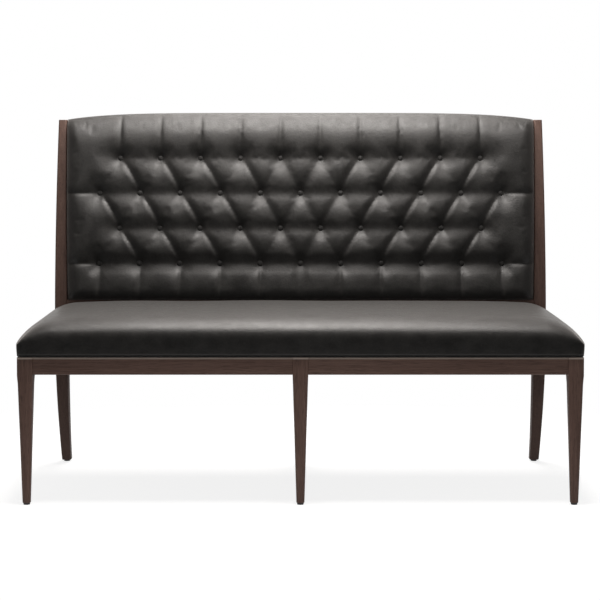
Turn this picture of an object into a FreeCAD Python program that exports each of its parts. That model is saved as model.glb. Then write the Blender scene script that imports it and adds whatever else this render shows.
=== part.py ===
"""Leather dining bench: walnut frame, crowned leather seat and a diamond-tufted leather back.

Millimetres, +Z up, the front faces -Y, and the origin is on the floor under the middle of the bench.
"""
import FreeCAD
import Part
import Sketcher
import math
import os

from FreeCAD import Placement, Rotation, Vector

doc = FreeCAD.newDocument("dining_bench")

# Driving dimensions: name, value in millimetres, meaning
SIZES = (
    ("frame_width", "1524", "across the outer faces of the front legs"),
    ("overall_depth", "615", "front of the seat to the rear of the post tops"),
    ("rail_top", "402", "floor to the top of the seat rails"),
    ("leg_head", "42", "side of a leg's square head"),
    ("leg_head_corner", "2", "corner radius of the square head"),
    ("leg_foot", "22", "side of a leg's foot"),
    ("leg_corner", "9", "corner radius of the tapered shaft"),
    ("leg_blend", "20", "height over which the head turns into the shaft"),
    ("leg_drop", "2", "square head carried on below the rails"),
    ("glide_height", "5", "floor to the underside of the wood"),
    ("glide_diameter", "18", "round foot glide"),
    ("rail_height", "48", "seat rail, top to bottom"),
    ("rail_thickness", "25", "seat rail, front to back"),
    ("rail_setback", "3", "rail face behind the leg face"),
    ("rail_edge", "4.5", "rounding of the rails' outer edges"),
    ("dowel_diameter", "8", "wooden dowel of the frame joints"),
    ("dowel_depth", "16", "dowel length in each piece"),
    ("dowel_spread_across", "15", "dowel centre off the rail's middle, joints across the bench"),
    ("dowel_spread_along", "5", "dowel centre off the rail's middle, joints front to back"),
    ("post_inset", "22.5", "outer face of the post in from the leg's outer face"),
    ("post_width", "37.5", "post seen from the front, at the seat"),
    ("post_depth", "48", "post seen from the side, at the seat"),
    ("post_top", "1045", "floor to the top of the posts"),
    ("post_rake", "57.5", "set-back of the post's rear face, seat to top"),
    ("post_kick", "44", "set-back of the post's rear face, seat to foot"),
    ("post_top_depth", "28", "post seen from the side, at the top"),
    ("post_foot_depth", "28", "post seen from the side, at the foot"),
    ("post_top_width", "24.2", "post seen from the front, at the top"),
    ("post_flare", "10", "outward run of the post's inner face, pad bottom to top"),
    ("post_foot_width", "28", "post seen from the front, at the foot"),
    ("post_flat_below", "14", "straight part of the post below the rails"),
    ("post_flat_above", "18", "straight part of the post above the rails"),
    ("post_edge", "4", "rounding of the posts' long edges"),
    ("side_rail_setback", "1.5", "side rail's face behind the post's outer face"),
    ("lower_rail_top", "503", "floor to the top of the back's lower rail"),
    ("lower_rail_height", "48", "back's lower rail, top to bottom"),
    ("lower_rail_thickness", "22", "back's lower rail, front to back"),
    ("lower_rail_setback", "4", "lower rail's face behind the post's front face"),
    ("block_height", "30", "corner block, top to bottom"),
    ("block_drop", "6", "corner block below the rails' top"),
    ("block_face", "60", "corner block's length along each rail"),
    ("block_gap", "20", "corner block's clearance to the leg or post"),
    ("screw_diameter", "4.5", "wood screw's shank"),
    ("screw_head_diameter", "9", "wood screw's head"),
    ("screw_head_height", "3.5", "wood screw's head"),
    ("screw_grip", "22", "screw length in the corner block"),
    ("screw_bite", "9", "screw length in the rail or board"),
    ("screw_clearance", "0.3", "room round a screw's head"),
    ("seat_screw_step", "12", "seat screw in from the corner block's end"),
    ("seat_overhang", "5", "widest line of the seat beyond the leg faces"),
    ("seat_tuck", "5", "lower edge of the seat drawn in from its widest line"),
    ("seat_lift", "1.5", "lower edge of the leather above the rails"),
    ("seat_belly", "26", "rails' top to the seat's widest line"),
    ("seat_crown", "72", "widest line to the top of the crown"),
    ("seat_end_roll", "107", "run of the rounding at the seat's ends"),
    ("seat_front_roll", "165", "run of the rounding at the seat's front"),
    ("seat_rear_roll", "40", "run of the rounding at the seat's rear"),
    ("seat_corner", "24", "plan radius of the seat's front corners"),
    ("seat_rear_corner", "12", "plan radius of the seat's rear corners"),
    ("seat_back_gap", "0.5", "seat to the posts' front faces"),
    ("seat_board_thickness", "12", "plywood under the seat foam"),
    ("dust_cover_thickness", "0.8", "cloth under the seat"),
    ("leather", "1.6", "upholstery leather"),
    ("soft_clearance", "0.3", "room round foam and other soft pieces"),
    ("pad_gap", "3", "lower rail to the back pad"),
    ("pad_rise", "21", "top of the back pad above the posts"),
    ("pad_side_gap", "0.3", "back pad to the posts' inner faces"),
    ("pad_proud", "23", "crest of the tufted pillows before the posts' front faces"),
    ("pad_side_lip", "8", "side face of the pad behind the button line"),
    ("pad_bottom_roll", "20", "set-back of the pad's lower edge"),
    ("pad_top_roll", "36", "set-back of the pad's upper edge"),
    ("pad_top_shrink", "36", "ends of the pad's upper edge drawn in"),
    ("button_pitch", "121", "buttons along a row"),
    ("row_pitch", "105", "rows of buttons"),
    ("first_row_rise", "107", "pad bottom to the lowest row"),
    ("top_row_margin", "80", "least height of pad over the top row"),
    ("end_margin", "70", "least width of pad outside the end buttons"),
    ("button_sink", "19", "button seat behind the pillows' crest"),
    ("pleat_sink", "11", "pleat behind the pillows' crest, halfway between buttons"),
    ("button_seat", "24", "side of the flat that a button sits on"),
    ("button_diameter", "21", "covered button"),
    ("button_thickness", "7", "covered button, at its middle"),
    ("button_rim", "2.5", "covered button, at its edge"),
    ("board_setback", "6", "back board behind the posts' front faces"),
    ("back_board_thickness", "6", "plywood that the tufts are tied to"),
    ("back_frame_thickness", "12", "back's inner frame, front to back"),
    ("back_frame_width", "56", "back's inner frame members"),
    ("muntin_width", "30", "upright between the frame's rails"),
    ("frame_top_drop", "24", "top of the inner frame below the pad's top"),
    ("turn_in", "12", "leather turned in on the rear of the inner frame"),
    ("outside_back_thickness", "2", "leather panel on the rear"),
    ("outside_back_margin", "4", "rear panel's edge in from the pad's edge"),
    ("twine_diameter", "2.4", "tufting twine"),
    ("toggle_diameter", "14", "washer that a twine is tied to"),
    ("toggle_thickness", "3", "washer that a twine is tied to"),
    ("back_dowel_diameter", "9", "dowel between the inner frame and a post"),
    ("back_dowel_depth", "16", "dowel length in each piece"),
)

# Places worked out from the driving dimensions
PLACES = (
    ("half_width", "Sizes.frame_width / 2"),
    ("leg_centre_x", "half_width - Sizes.leg_head / 2"),
    ("leg_inner_x", "half_width - Sizes.leg_head"),
    ("leg_front", "Sizes.seat_overhang - Sizes.overall_depth / 2"),
    ("leg_centre_y", "leg_front + Sizes.leg_head / 2"),
    ("leg_back", "leg_front + Sizes.leg_head"),
    ("rail_bottom", "Sizes.rail_top - Sizes.rail_height"),
    ("rail_middle", "Sizes.rail_top - Sizes.rail_height / 2"),
    ("rail_front", "leg_front + Sizes.rail_setback"),
    ("rail_back", "rail_front + Sizes.rail_thickness"),
    ("post_outer", "half_width - Sizes.post_inset"),
    ("post_inner", "post_outer - Sizes.post_width"),
    ("post_rear", "Sizes.overall_depth / 2 - Sizes.post_rake"),
    ("post_front", "post_rear - Sizes.post_depth"),
    ("post_low", "rail_bottom - Sizes.post_flat_below"),
    ("post_high", "Sizes.rail_top + Sizes.post_flat_above"),
    ("post_top_rear", "Sizes.overall_depth / 2"),
    ("post_top_front", "post_top_rear - Sizes.post_top_depth"),
    ("post_foot_rear", "post_rear + Sizes.post_kick"),
    ("post_foot_front", "post_foot_rear - Sizes.post_foot_depth"),
    ("post_inner_top", "post_inner + Sizes.post_flare"),
    ("post_outer_top", "post_inner_top + Sizes.post_top_width"),
    ("post_outer_foot", "post_inner + Sizes.post_foot_width"),
    ("post_foot_x", "post_inner + Sizes.post_foot_width / 2"),
    ("post_foot_y", "post_foot_rear - Sizes.post_foot_depth / 2"),
    ("rise_top", "Sizes.post_top - post_high"),
    ("rise_foot", "post_low - Sizes.glide_height"),
    ("run_front_top", "post_top_front - post_front"),
    ("run_front_foot", "post_foot_front - post_front"),
    ("front_top_radius", "(rise_top ^ 2 + run_front_top ^ 2) / 2 / run_front_top"),
    ("rear_top_radius", "(rise_top ^ 2 + Sizes.post_rake ^ 2) / 2 / Sizes.post_rake"),
    ("front_foot_radius", "(rise_foot ^ 2 + run_front_foot ^ 2) / 2 / run_front_foot"),
    ("rear_foot_radius", "(rise_foot ^ 2 + Sizes.post_kick ^ 2) / 2 / Sizes.post_kick"),
    ("rear_leg_centre_y", "post_rear - Sizes.leg_head / 2"),
    ("rear_leg_front", "post_rear - Sizes.leg_head"),
    ("rear_rail_back", "post_rear - Sizes.rail_setback"),
    ("rear_rail_front", "rear_rail_back - Sizes.rail_thickness"),
    ("side_rail_outer", "post_outer - Sizes.side_rail_setback"),
    ("side_rail_inner", "side_rail_outer - Sizes.rail_thickness"),
    ("side_rail_x", "side_rail_outer - Sizes.rail_thickness / 2"),
    ("lower_rail_bottom", "Sizes.lower_rail_top - Sizes.lower_rail_height"),
    ("lower_rail_front", "post_front + Sizes.lower_rail_setback"),
    ("lower_rail_y", "lower_rail_front + Sizes.lower_rail_thickness / 2"),
    ("lower_rail_middle", "Sizes.lower_rail_top - Sizes.lower_rail_height / 2"),
    ("block_top", "Sizes.rail_top - Sizes.block_drop"),
    ("block_bottom", "block_top - Sizes.block_height"),
    ("block_middle", "block_top - Sizes.block_height / 2"),
    ("seat_bottom", "Sizes.rail_top + Sizes.seat_lift"),
    ("seat_belly_z", "Sizes.rail_top + Sizes.seat_belly"),
    ("seat_half", "half_width + Sizes.seat_overhang"),
    ("seat_front", "-Sizes.overall_depth / 2"),
    ("seat_rear", "post_front - Sizes.seat_back_gap"),
    ("seat_board_top", "Sizes.rail_top + Sizes.seat_board_thickness"),
    ("board_inset", "Sizes.seat_tuck + Sizes.leather + Sizes.soft_clearance"),
    ("pad_bottom", "Sizes.lower_rail_top + Sizes.pad_gap"),
    ("pad_top", "Sizes.post_top + Sizes.pad_rise"),
    ("frame_back", "Sizes.board_setback + Sizes.back_board_thickness + Sizes.back_frame_thickness"),
    ("frame_front", "Sizes.board_setback + Sizes.back_board_thickness"),
    ("cover_back", "frame_back + Sizes.soft_clearance + Sizes.leather"),
    ("frame_inset", "Sizes.pad_side_gap + Sizes.leather + Sizes.soft_clearance"),
    ("frame_bottom", "pad_bottom + Sizes.leather + Sizes.soft_clearance"),
    ("frame_top", "pad_top - Sizes.frame_top_drop"),
    ("frame_half", "post_inner - frame_inset"),
)


def fill_sheets():
    """Make the sheet of driving dimensions and the sheet of places that follow from them."""
    sizes = doc.addObject("Spreadsheet::Sheet", "Sizes")
    for row, (name, number, meaning) in enumerate(SIZES, 1):
        sizes.set(f"A{row}", meaning)
        sizes.set(f"B{row}", number)
        sizes.setAlias(f"B{row}", name)
    doc.recompute()
    places = doc.addObject("Spreadsheet::Sheet", "Places")
    for row, entry in enumerate(PLACES, 1):
        places.setAlias(f"B{row}", entry[0])
    for row, (name, formula) in enumerate(PLACES, 1):
        places.set(f"A{row}", name.replace("_", " "))
        places.set(f"B{row}", "=" + formula)
    doc.recompute()
    return sizes, places


sizes, places = fill_sheets()
SIDES = (("left", -1), ("right", 1))
parts = {}


def value(formula):
    """Work a formula out from the sheets."""
    return float(sizes.evalExpression(formula))


def bind(item, **formulas):
    """Bind an object's properties; a double underscore stands for a dot."""
    for name, formula in formulas.items():
        item.setExpression(name.replace("__", "."), formula)


def place(item, x="0", y="0", z="0"):
    """Bind an object's place."""
    bind(item, Placement__Base__x=x, Placement__Base__y=y, Placement__Base__z=z)


def keep(label, item):
    """Name a finished sub-part."""
    item.Label = label
    parts[label] = item
    return item


def box(name, x, y, z):
    """Box between pairs of formulas."""
    item = doc.addObject("Part::Box", name)
    bind(item, Length=f"{x[1]} - ({x[0]})", Width=f"{y[1]} - ({y[0]})", Height=f"{z[1]} - ({z[0]})")
    place(item, x[0], y[0], z[0])
    return item


AXES = {
    "+x": Rotation(Vector(0, 1, 0), 90),
    "-x": Rotation(Vector(0, 1, 0), -90),
    "+y": Rotation(Vector(1, 0, 0), -90),
    "-y": Rotation(Vector(1, 0, 0), 90),
    "+z": Rotation(),
    "-z": Rotation(Vector(1, 0, 0), 180),
}


def rod(name, axis, diameter, length, x, y, z):
    """Cylinder that starts at a place and runs along an axis."""
    item = doc.addObject("Part::Cylinder", name)
    item.Placement = Placement(Vector(), AXES[axis])
    bind(item, Radius=f"({diameter}) / 2", Height=length)
    place(item, x, y, z)
    return item


def group(name, items):
    """Several solids in one object."""
    item = doc.addObject("Part::Compound", name)
    item.Links = items
    return item


def cut(name, base, tools):
    """Base without the tools."""
    item = doc.addObject("Part::Cut", name)
    item.Base = base
    item.Tool = tools[0] if len(tools) == 1 else group(name + "_tools", tools)
    return item


def fixed(name, shape):
    """Object whose shape is worked out here from the sheets."""
    item = doc.addObject("Part::Feature", name)
    item.Shape = shape
    return item


def sketch_on(body, name, role, offset=None):
    """Sketch on one of the body's own planes."""
    sketch = body.newObject("Sketcher::SketchObject", name)
    plane = next(item for item in body.Origin.OriginFeatures if item.Role == role)
    sketch.AttachmentSupport = (plane, "")
    sketch.MapMode = "FlatFace"
    if offset:
        bind(sketch, AttachmentOffset__Base__z=offset)
    return sketch


def arc_between(start, end, radius, side):
    """Arc of under a half circle; side 1 has its centre left of the way from start to end."""
    chord = end - start
    rise = math.sqrt(radius ** 2 - chord.Length ** 2 / 4)
    left = Vector(-chord.y, chord.x, 0).normalize()
    centre = (start + end) / 2 + left * rise * side
    first, last = (start, end) if side > 0 else (end, start)
    angles = [math.atan2(point.y - centre.y, point.x - centre.x) for point in (first, last)]
    return Part.ArcOfCircle(Part.Circle(centre, Vector(0, 0, 1), radius), *angles)


def outline(sketch, corners, bends=None):
    """Closed outline through corners, with every corner and radius bound to the sheets.

    bends gives, by the number of the corner where a stretch starts, its radius and its centre's side.
    """
    bends = bends or {}
    points = [Vector(value(x), value(y), 0) for x, y in corners]
    count = len(corners)
    first_edge = sketch.GeometryCount
    for number, start in enumerate(points):
        end = points[(number + 1) % count]
        if number in bends:
            radius, side = bends[number]
            sketch.addGeometry(arc_between(start, end, value(radius), side), False)
        else:
            sketch.addGeometry(Part.LineSegment(start, end), False)
    ends = []
    for number in range(count):
        turned = number in bends and bends[number][1] < 0
        ends.append((2, 1) if turned else (1, 2))
    for number, (x, y) in enumerate(corners):
        edge, before = first_edge + number, first_edge + (number - 1) % count
        start, end = ends[number][0], ends[(number - 1) % count][1]
        sketch.addConstraint(Sketcher.Constraint("Coincident", before, end, edge, start))
        for kind, formula, size in (("DistanceX", x, points[number].x), ("DistanceY", y, points[number].y)):
            index = sketch.addConstraint(Sketcher.Constraint(kind, -1, 1, edge, start, size))
            sketch.setExpression(f"Constraints[{index}]", formula)
    for number, (radius, side) in bends.items():
        index = sketch.addConstraint(Sketcher.Constraint("Radius", first_edge + number, value(radius)))
        sketch.setExpression(f"Constraints[{index}]", radius)


def pad_along(body, name, sketch, length):
    """Pad of a sketch."""
    pad = body.newObject("PartDesign::Pad", name)
    pad.Profile = sketch
    bind(pad, Length=length)
    return pad


def round_edges(body, name, base, radius, wanted):
    """Fillet of the base feature's edges that pass a test."""
    doc.recompute()
    names = [f"Edge{number}" for number, edge in enumerate(base.Shape.Edges, 1) if wanted(edge)]
    fillet = body.newObject("PartDesign::Fillet", name)
    fillet.Base = (base, names)
    bind(fillet, Radius=radius)
    return fillet


# Frame joints: dowels shared by the pieces on both sides of each joint
dowels = {}


def joint(name, axis, x, y, middle, pieces):
    """Pair of dowels across the face between two pieces; the axis is x or y."""
    spread = "Sizes.dowel_spread_across" if axis == "x" else "Sizes.dowel_spread_along"
    for place_name, sign in (("upper", "+"), ("lower", "-")):
        start_x = f"{x} - Sizes.dowel_depth" if axis == "x" else x
        start_y = f"{y} - Sizes.dowel_depth" if axis == "y" else y
        dowel = rod(f"dowel_{name}_{place_name}", "+" + axis, "Sizes.dowel_diameter",
                    "2 * Sizes.dowel_depth", start_x, start_y, f"{middle} {sign} {spread}")
        for piece in pieces:
            dowels.setdefault(piece, []).append(dowel)


def frame_joints():
    """Dowels of the seat frame and of the back's lower rail."""
    front_y = "Places.rail_back - Sizes.rail_thickness / 2"
    rear_y = "Places.rear_rail_back - Sizes.rail_thickness / 2"
    for side, sign in SIDES:
        joint(f"front_{side}", "x", f"{sign} * Places.leg_inner_x", front_y,
              "Places.rail_middle", (f"front_leg_{side}", f"front_rail_{side}"))
        joint(f"front_centre_{side}", "x", f"{sign} * Sizes.leg_head / 2", front_y,
              "Places.rail_middle", ("front_leg_centre", f"front_rail_{side}"))
        joint(f"side_front_{side}", "y", f"{sign} * Places.side_rail_x", "Places.leg_back",
              "Places.rail_middle", (f"front_leg_{side}", f"side_rail_{side}"))
        joint(f"side_rear_{side}", "y", f"{sign} * Places.side_rail_x", "Places.post_front",
              "Places.rail_middle", (f"rear_post_{side}", f"side_rail_{side}"))
        joint(f"rear_{side}", "x", f"{sign} * Places.post_inner", rear_y,
              "Places.rail_middle", (f"rear_post_{side}", f"rear_rail_{side}"))
        joint(f"rear_centre_{side}", "x", f"{sign} * Sizes.leg_head / 2", rear_y,
              "Places.rail_middle", ("rear_leg_centre", f"rear_rail_{side}"))
        joint(f"lower_{side}", "x", f"{sign} * Places.post_inner", "Places.lower_rail_y",
              "Places.lower_rail_middle", (f"rear_post_{side}", "back_lower_rail"))
    joint("stretcher_front", "y", "0", "Places.leg_back", "Places.rail_middle",
          ("front_leg_centre", "centre_stretcher"))
    joint("stretcher_rear", "y", "0", "Places.rear_leg_front", "Places.rail_middle",
          ("rear_leg_centre", "centre_stretcher"))
    unique = {dowel.Name: dowel for pair in dowels.values() for dowel in pair}
    keep("rail_dowels", group("rail_dowels", list(unique.values())))


def rounded_section(body, name, level, x_range, y_range, radius):
    """Sketch of a rectangle with rounded corners, at a height."""
    sketch = sketch_on(body, name, "XY_Plane", level)
    (left, right), (front, rear) = x_range, y_range
    corners = [(f"{left} + {radius}", front), (f"{right} - {radius}", front),
               (right, f"{front} + {radius}"), (right, f"{rear} - {radius}"),
               (f"{right} - {radius}", rear), (f"{left} + {radius}", rear),
               (left, f"{rear} - {radius}"), (left, f"{front} + {radius}")]
    outline(sketch, corners, {number: (radius, 1) for number in (1, 3, 5, 7)})
    return sketch


def rounded_square(body, name, level, side, radius):
    """Sketch of a square with rounded corners about the body's own axis, at a height."""
    span = (f"-({side}) / 2", f"({side}) / 2")
    return rounded_section(body, name, level, span, span, radius)


def loft_through(body, name, sections):
    """Loft whose sides run straight from section to section."""
    loft = body.newObject("PartDesign::AdditiveLoft", name)
    loft.Profile = sections[0]
    loft.Sections = sections[1:]
    loft.Ruled = True


def leg(label, x, y):
    """Leg with a square head and a tapered shaft whose corners are rounded, cut for its dowels."""
    body = doc.addObject("PartDesign::Body", label + "_body")
    shoulder = "Places.rail_bottom - Sizes.leg_drop"
    sections = [
        rounded_square(body, label + "_top", "Sizes.rail_top", "Sizes.leg_head", "Sizes.leg_head_corner"),
        rounded_square(body, label + "_shoulder", shoulder, "Sizes.leg_head", "Sizes.leg_head_corner"),
        rounded_square(body, label + "_shaft", f"{shoulder} - Sizes.leg_blend",
                       "Sizes.leg_head - (Sizes.leg_head - Sizes.leg_foot) * Sizes.leg_blend"
                       f" / ({shoulder} - Sizes.glide_height)", "Sizes.leg_corner"),
        rounded_square(body, label + "_foot", "Sizes.glide_height", "Sizes.leg_foot", "Sizes.leg_corner"),
    ]
    loft_through(body, label + "_loft", sections)
    place(body, x, y)
    keep(label, cut(label, body, dowels[label]))


# Sections along the posts' curves, below and above the straight part
FOOT_STEPS = 6
TOP_STEPS = 8


def curve_depth(start, radius, rise):
    """Formula of a curve that leaves the straight part of the post upright."""
    return f"({start} + {radius} - sqrt({radius} ^ 2 - ({rise}) ^ 2))"


def post_levels():
    """Levels of the post: height, front and rear depth, inner and outer face, all as formulas."""
    levels = []
    for step in range(FOOT_STEPS):
        share = f"{FOOT_STEPS - step} / {FOOT_STEPS}"
        rise = f"Places.rise_foot * {share}"
        levels.append((f"Places.post_low - {rise}",
                       curve_depth("Places.post_front", "Places.front_foot_radius", rise),
                       curve_depth("Places.post_rear", "Places.rear_foot_radius", rise),
                       "Places.post_inner",
                       f"(Places.post_outer + (Places.post_outer_foot - Places.post_outer) * {share})"))
    for height in ("Places.post_low", "Places.post_high"):
        levels.append((height, "Places.post_front", "Places.post_rear", "Places.post_inner", "Places.post_outer"))
    for step in range(TOP_STEPS + 1):
        share = f"{step} / {TOP_STEPS}"
        height = f"(Places.pad_bottom + (Sizes.post_top - Places.pad_bottom) * {share})"
        rise = f"{height} - Places.post_high"
        levels.append((height,
                       curve_depth("Places.post_front", "Places.front_top_radius", rise),
                       curve_depth("Places.post_rear", "Places.rear_top_radius", rise),
                       f"(Places.post_inner + Sizes.post_flare * {share})",
                       f"(Places.post_outer + (Places.post_outer_top - Places.post_outer) * {share})"))
    return levels


def rear_post(side, sign, holes):
    """Sabre-curved post in one piece from the floor to the top of the back."""
    label = f"rear_post_{side}"
    body = doc.addObject("PartDesign::Body", label + "_body")
    sections = []
    for number, (height, front, rear, inner, outer) in enumerate(post_levels()):
        span = (inner, outer) if sign > 0 else (f"-{outer}", f"-{inner}")
        sections.append(rounded_section(body, f"{label}_section_{number}", height, span, (front, rear),
                                        "Sizes.post_edge"))
    loft_through(body, label + "_loft", sections)
    keep(label, cut(label, body, dowels[label] + holes))


def rail(label, along, start, length, across, bottom, height, thickness, outward, holes=()):
    """Straight rail along x or y with the edges of its outward face rounded, cut for dowels and screws."""
    body = doc.addObject("PartDesign::Body", label + "_body")
    section = sketch_on(body, label + "_section", "YZ_Plane" if along == "x" else "XZ_Plane")
    half, top = f"{thickness} / 2", f"{bottom} + {height}"
    outline(section, [(f"-{half}", bottom), (half, bottom), (half, top), (f"-{half}", top)])
    pad = pad_along(body, label + "_pad", section, length)
    pad.Reversed = along == "y"

    def outer_edge(edge):
        """True for the two long edges on the side that shows."""
        bounds = edge.BoundBox
        run, offset = (bounds.XLength, bounds.YMin) if along == "x" else (bounds.YLength, bounds.XMin)
        return run > bounds.ZLength and offset * outward > 0 and bounds.DiagonalLength - run < 1e-3

    round_edges(body, label + "_edges", pad, "Sizes.rail_edge", outer_edge)
    place(body, *((start, across) if along == "x" else (across, start)))
    keep(label, cut(label, body, dowels[label] + list(holes)))


def rails(screw_holes):
    """Seat rails, the stretcher and the back's lower rail."""
    seat_rail = ("Places.rail_bottom", "Sizes.rail_height", "Sizes.rail_thickness")
    for side, sign in SIDES:
        long_run = "Places.leg_inner_x - Sizes.leg_head / 2"
        start = "Sizes.leg_head / 2" if sign > 0 else "-Places.leg_inner_x"
        rail(f"front_rail_{side}", "x", start, long_run, "Places.rail_back - Sizes.rail_thickness / 2",
             *seat_rail, -1, screw_holes[f"front_rail_{side}"])
        rear_run = "Places.post_inner - Sizes.leg_head / 2"
        start = "Sizes.leg_head / 2" if sign > 0 else "-Places.post_inner"
        rail(f"rear_rail_{side}", "x", start, rear_run, "Places.rear_rail_back - Sizes.rail_thickness / 2",
             *seat_rail, 1, screw_holes[f"rear_rail_{side}"])
        rail(f"side_rail_{side}", "y", "Places.leg_back", "Places.post_front - Places.leg_back",
             f"{sign} * Places.side_rail_x", *seat_rail, sign, screw_holes[f"side_rail_{side}"])
    rail("centre_stretcher", "y", "Places.leg_back", "Places.rear_leg_front - Places.leg_back", "0",
         *seat_rail, 1)
    rail("back_lower_rail", "x", "-Places.post_inner", "2 * Places.post_inner", "Places.lower_rail_y",
         "Places.lower_rail_bottom", "Sizes.lower_rail_height", "Sizes.lower_rail_thickness", 1)


def screw(name, axis, x, y, z, bite, grip):
    """Wood screw across a face: the bite is behind the face and the head at the grip's end."""
    step = {"+x": (1, 0, 0), "-x": (-1, 0, 0), "+y": (0, 1, 0), "-y": (0, -1, 0), "-z": (0, 0, -1)}[axis]

    def along(distance):
        """Place on the screw's axis."""
        return [f"{start} + ({distance}) * {part}" for start, part in zip((x, y, z), step)]

    shank = rod(name + "_shank", axis, "Sizes.screw_diameter", f"{bite} + {grip}", *along(f"-({bite})"))
    head = rod(name + "_head", axis, "Sizes.screw_head_diameter", "Sizes.screw_head_height", *along(grip))
    whole = doc.addObject("Part::Fuse", name)
    whole.Base = shank
    whole.Tool = head
    whole.Refine = True
    room = rod(name + "_room", axis, "Sizes.screw_head_diameter + 2 * Sizes.screw_clearance",
               "Places.half_width", *along(grip))
    return whole, shank, room


def corner_blocks():
    """Blocks across the frame's corners, each with two screws into the rails and one up into the seat."""
    rail_holes = {}
    block_screws, seat_screws, board_holes = [], [], []
    for end, inward, face, stop in (("front", 1, "Places.rail_back", "Places.leg_back"),
                                    ("rear", -1, "Places.rear_rail_front", "Places.post_front")):
        for side, sign in SIDES:
            label = f"corner_block_{end}_{side}"
            edge_x = "Places.side_rail_inner" if end == "front" else "Places.post_inner"
            near_x, near_y = f"({edge_x} - Sizes.block_gap)", f"({stop} + {inward} * Sizes.block_gap)"
            far_x, far_y = f"({near_x} - Sizes.block_face)", f"({near_y} + {inward} * Sizes.block_face)"
            rail_x = f"{sign} * Places.side_rail_inner"
            body = doc.addObject("PartDesign::Body", label + "_body")
            plan = sketch_on(body, label + "_plan", "XY_Plane", "Places.block_bottom")
            outline(plan, [(rail_x, near_y), (rail_x, far_y),
                           (f"{sign} * {far_x}", face), (f"{sign} * {near_x}", face)])
            pad_along(body, label + "_pad", plan, "Sizes.block_height")
            into_side = screw(f"{label}_side_screw", "-x" if sign > 0 else "+x", rail_x,
                              f"({near_y} + {far_y}) / 2", "Places.block_middle",
                              "Sizes.screw_bite", "Sizes.screw_grip")
            into_rail = screw(f"{label}_rail_screw", "+y" if inward > 0 else "-y",
                              f"{sign} * ({near_x} + {far_x}) / 2", face, "Places.block_middle",
                              "Sizes.screw_bite", "Sizes.screw_grip")
            into_seat = screw(f"{label}_seat_screw", "-z",
                              f"{sign} * (Places.side_rail_inner - Sizes.block_gap)",
                              f"{near_y} + {inward} * Sizes.seat_screw_step", "Sizes.rail_top",
                              "Sizes.screw_bite", "Sizes.block_drop + Sizes.block_height")
            rail_holes.setdefault(f"side_rail_{side}", []).append(into_side[1])
            rail_holes.setdefault(f"{end}_rail_{side}", []).append(into_rail[1])
            tools = [*into_side[1:], *into_rail[1:], into_seat[1]]
            keep(label, cut(label, body, tools))
            block_screws += [into_side[0], into_rail[0]]
            seat_screws.append(into_seat[0])
            board_holes.append(into_seat[1])
    keep("corner_block_screws", group("corner_block_screws", block_screws))
    keep("seat_screws", group("seat_screws", seat_screws))
    return rail_holes, board_holes


def foot_glides():
    """Round glides under the six feet."""
    feet = [("centre_front", "0", "Places.leg_centre_y"), ("centre_rear", "0", "Places.rear_leg_centre_y")]
    for side, sign in SIDES:
        feet.append((f"front_{side}", f"{sign} * Places.leg_centre_x", "Places.leg_centre_y"))
        feet.append((f"rear_{side}", f"{sign} * Places.post_foot_x", "Places.post_foot_y"))
    glides = [rod(f"glide_{name}", "+z", "Sizes.glide_diameter", "Sizes.glide_height", x, y, "0")
              for name, x, y in feet]
    keep("foot_glides", group("foot_glides", glides))


def rounded_plan(half, front, rear, level, front_radius, rear_radius):
    """Wire of a rectangle with rounded corners, at a height."""
    corners = ((half, rear, rear_radius, 0), (-half, rear, rear_radius, 90),
               (-half, front, front_radius, 180), (half, front, front_radius, 270))
    edges, last = [], None
    for x, y, radius, turn in corners:
        centre = Vector(x - math.copysign(radius, x), y - radius if y == rear else y + radius, level)
        angles = [math.radians(turn + step) for step in (0, 45, 90)]
        points = [centre + Vector(math.cos(angle), math.sin(angle), 0) * radius for angle in angles]
        if last:
            edges.append(Part.makeLine(last, points[0]))
        edges.append(Part.Arc(*points).toShape())
        last = points[2]
    edges.append(Part.makeLine(last, edges[0].firstVertex().Point))
    return Part.Wire(edges)


# Steps of the seat's rounding, in degrees from its widest line to its crown
SEAT_STEPS = (0, 18, 34, 48, 60, 72, 90)


def seat_form(inset, bottom):
    """Crowned cushion, drawn in at its lower edge; inset moves its skin inwards."""
    belly, low = value("Places.seat_belly_z"), value("Places.seat_bottom")
    tuck, crown = value("Sizes.seat_tuck"), value("Sizes.seat_crown")
    half, front, rear = value("Places.seat_half"), value("Places.seat_front"), value("Places.seat_rear")
    rolls = [value(f"Sizes.seat_{name}_roll") for name in ("end", "front", "rear")]
    corner, rear_corner = value("Sizes.seat_corner"), value("Sizes.seat_rear_corner")
    drawn = inset + tuck * max(0, belly - max(bottom, low)) / (belly - low)
    wires = [rounded_plan(half - drawn, front + drawn, rear - inset, bottom, corner, rear_corner)]
    for angle in SEAT_STEPS:
        run, rise = 1 - math.cos(math.radians(angle)), math.sin(math.radians(angle))
        end, fore, aft = [roll * run + inset for roll in rolls]
        level = belly + (crown - inset) * rise
        wires.append(rounded_plan(half - end, front + fore, rear - aft, level,
                                  corner + end - inset, rear_corner + aft - inset))
    return Part.makeLoft(wires, True, True)


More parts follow.
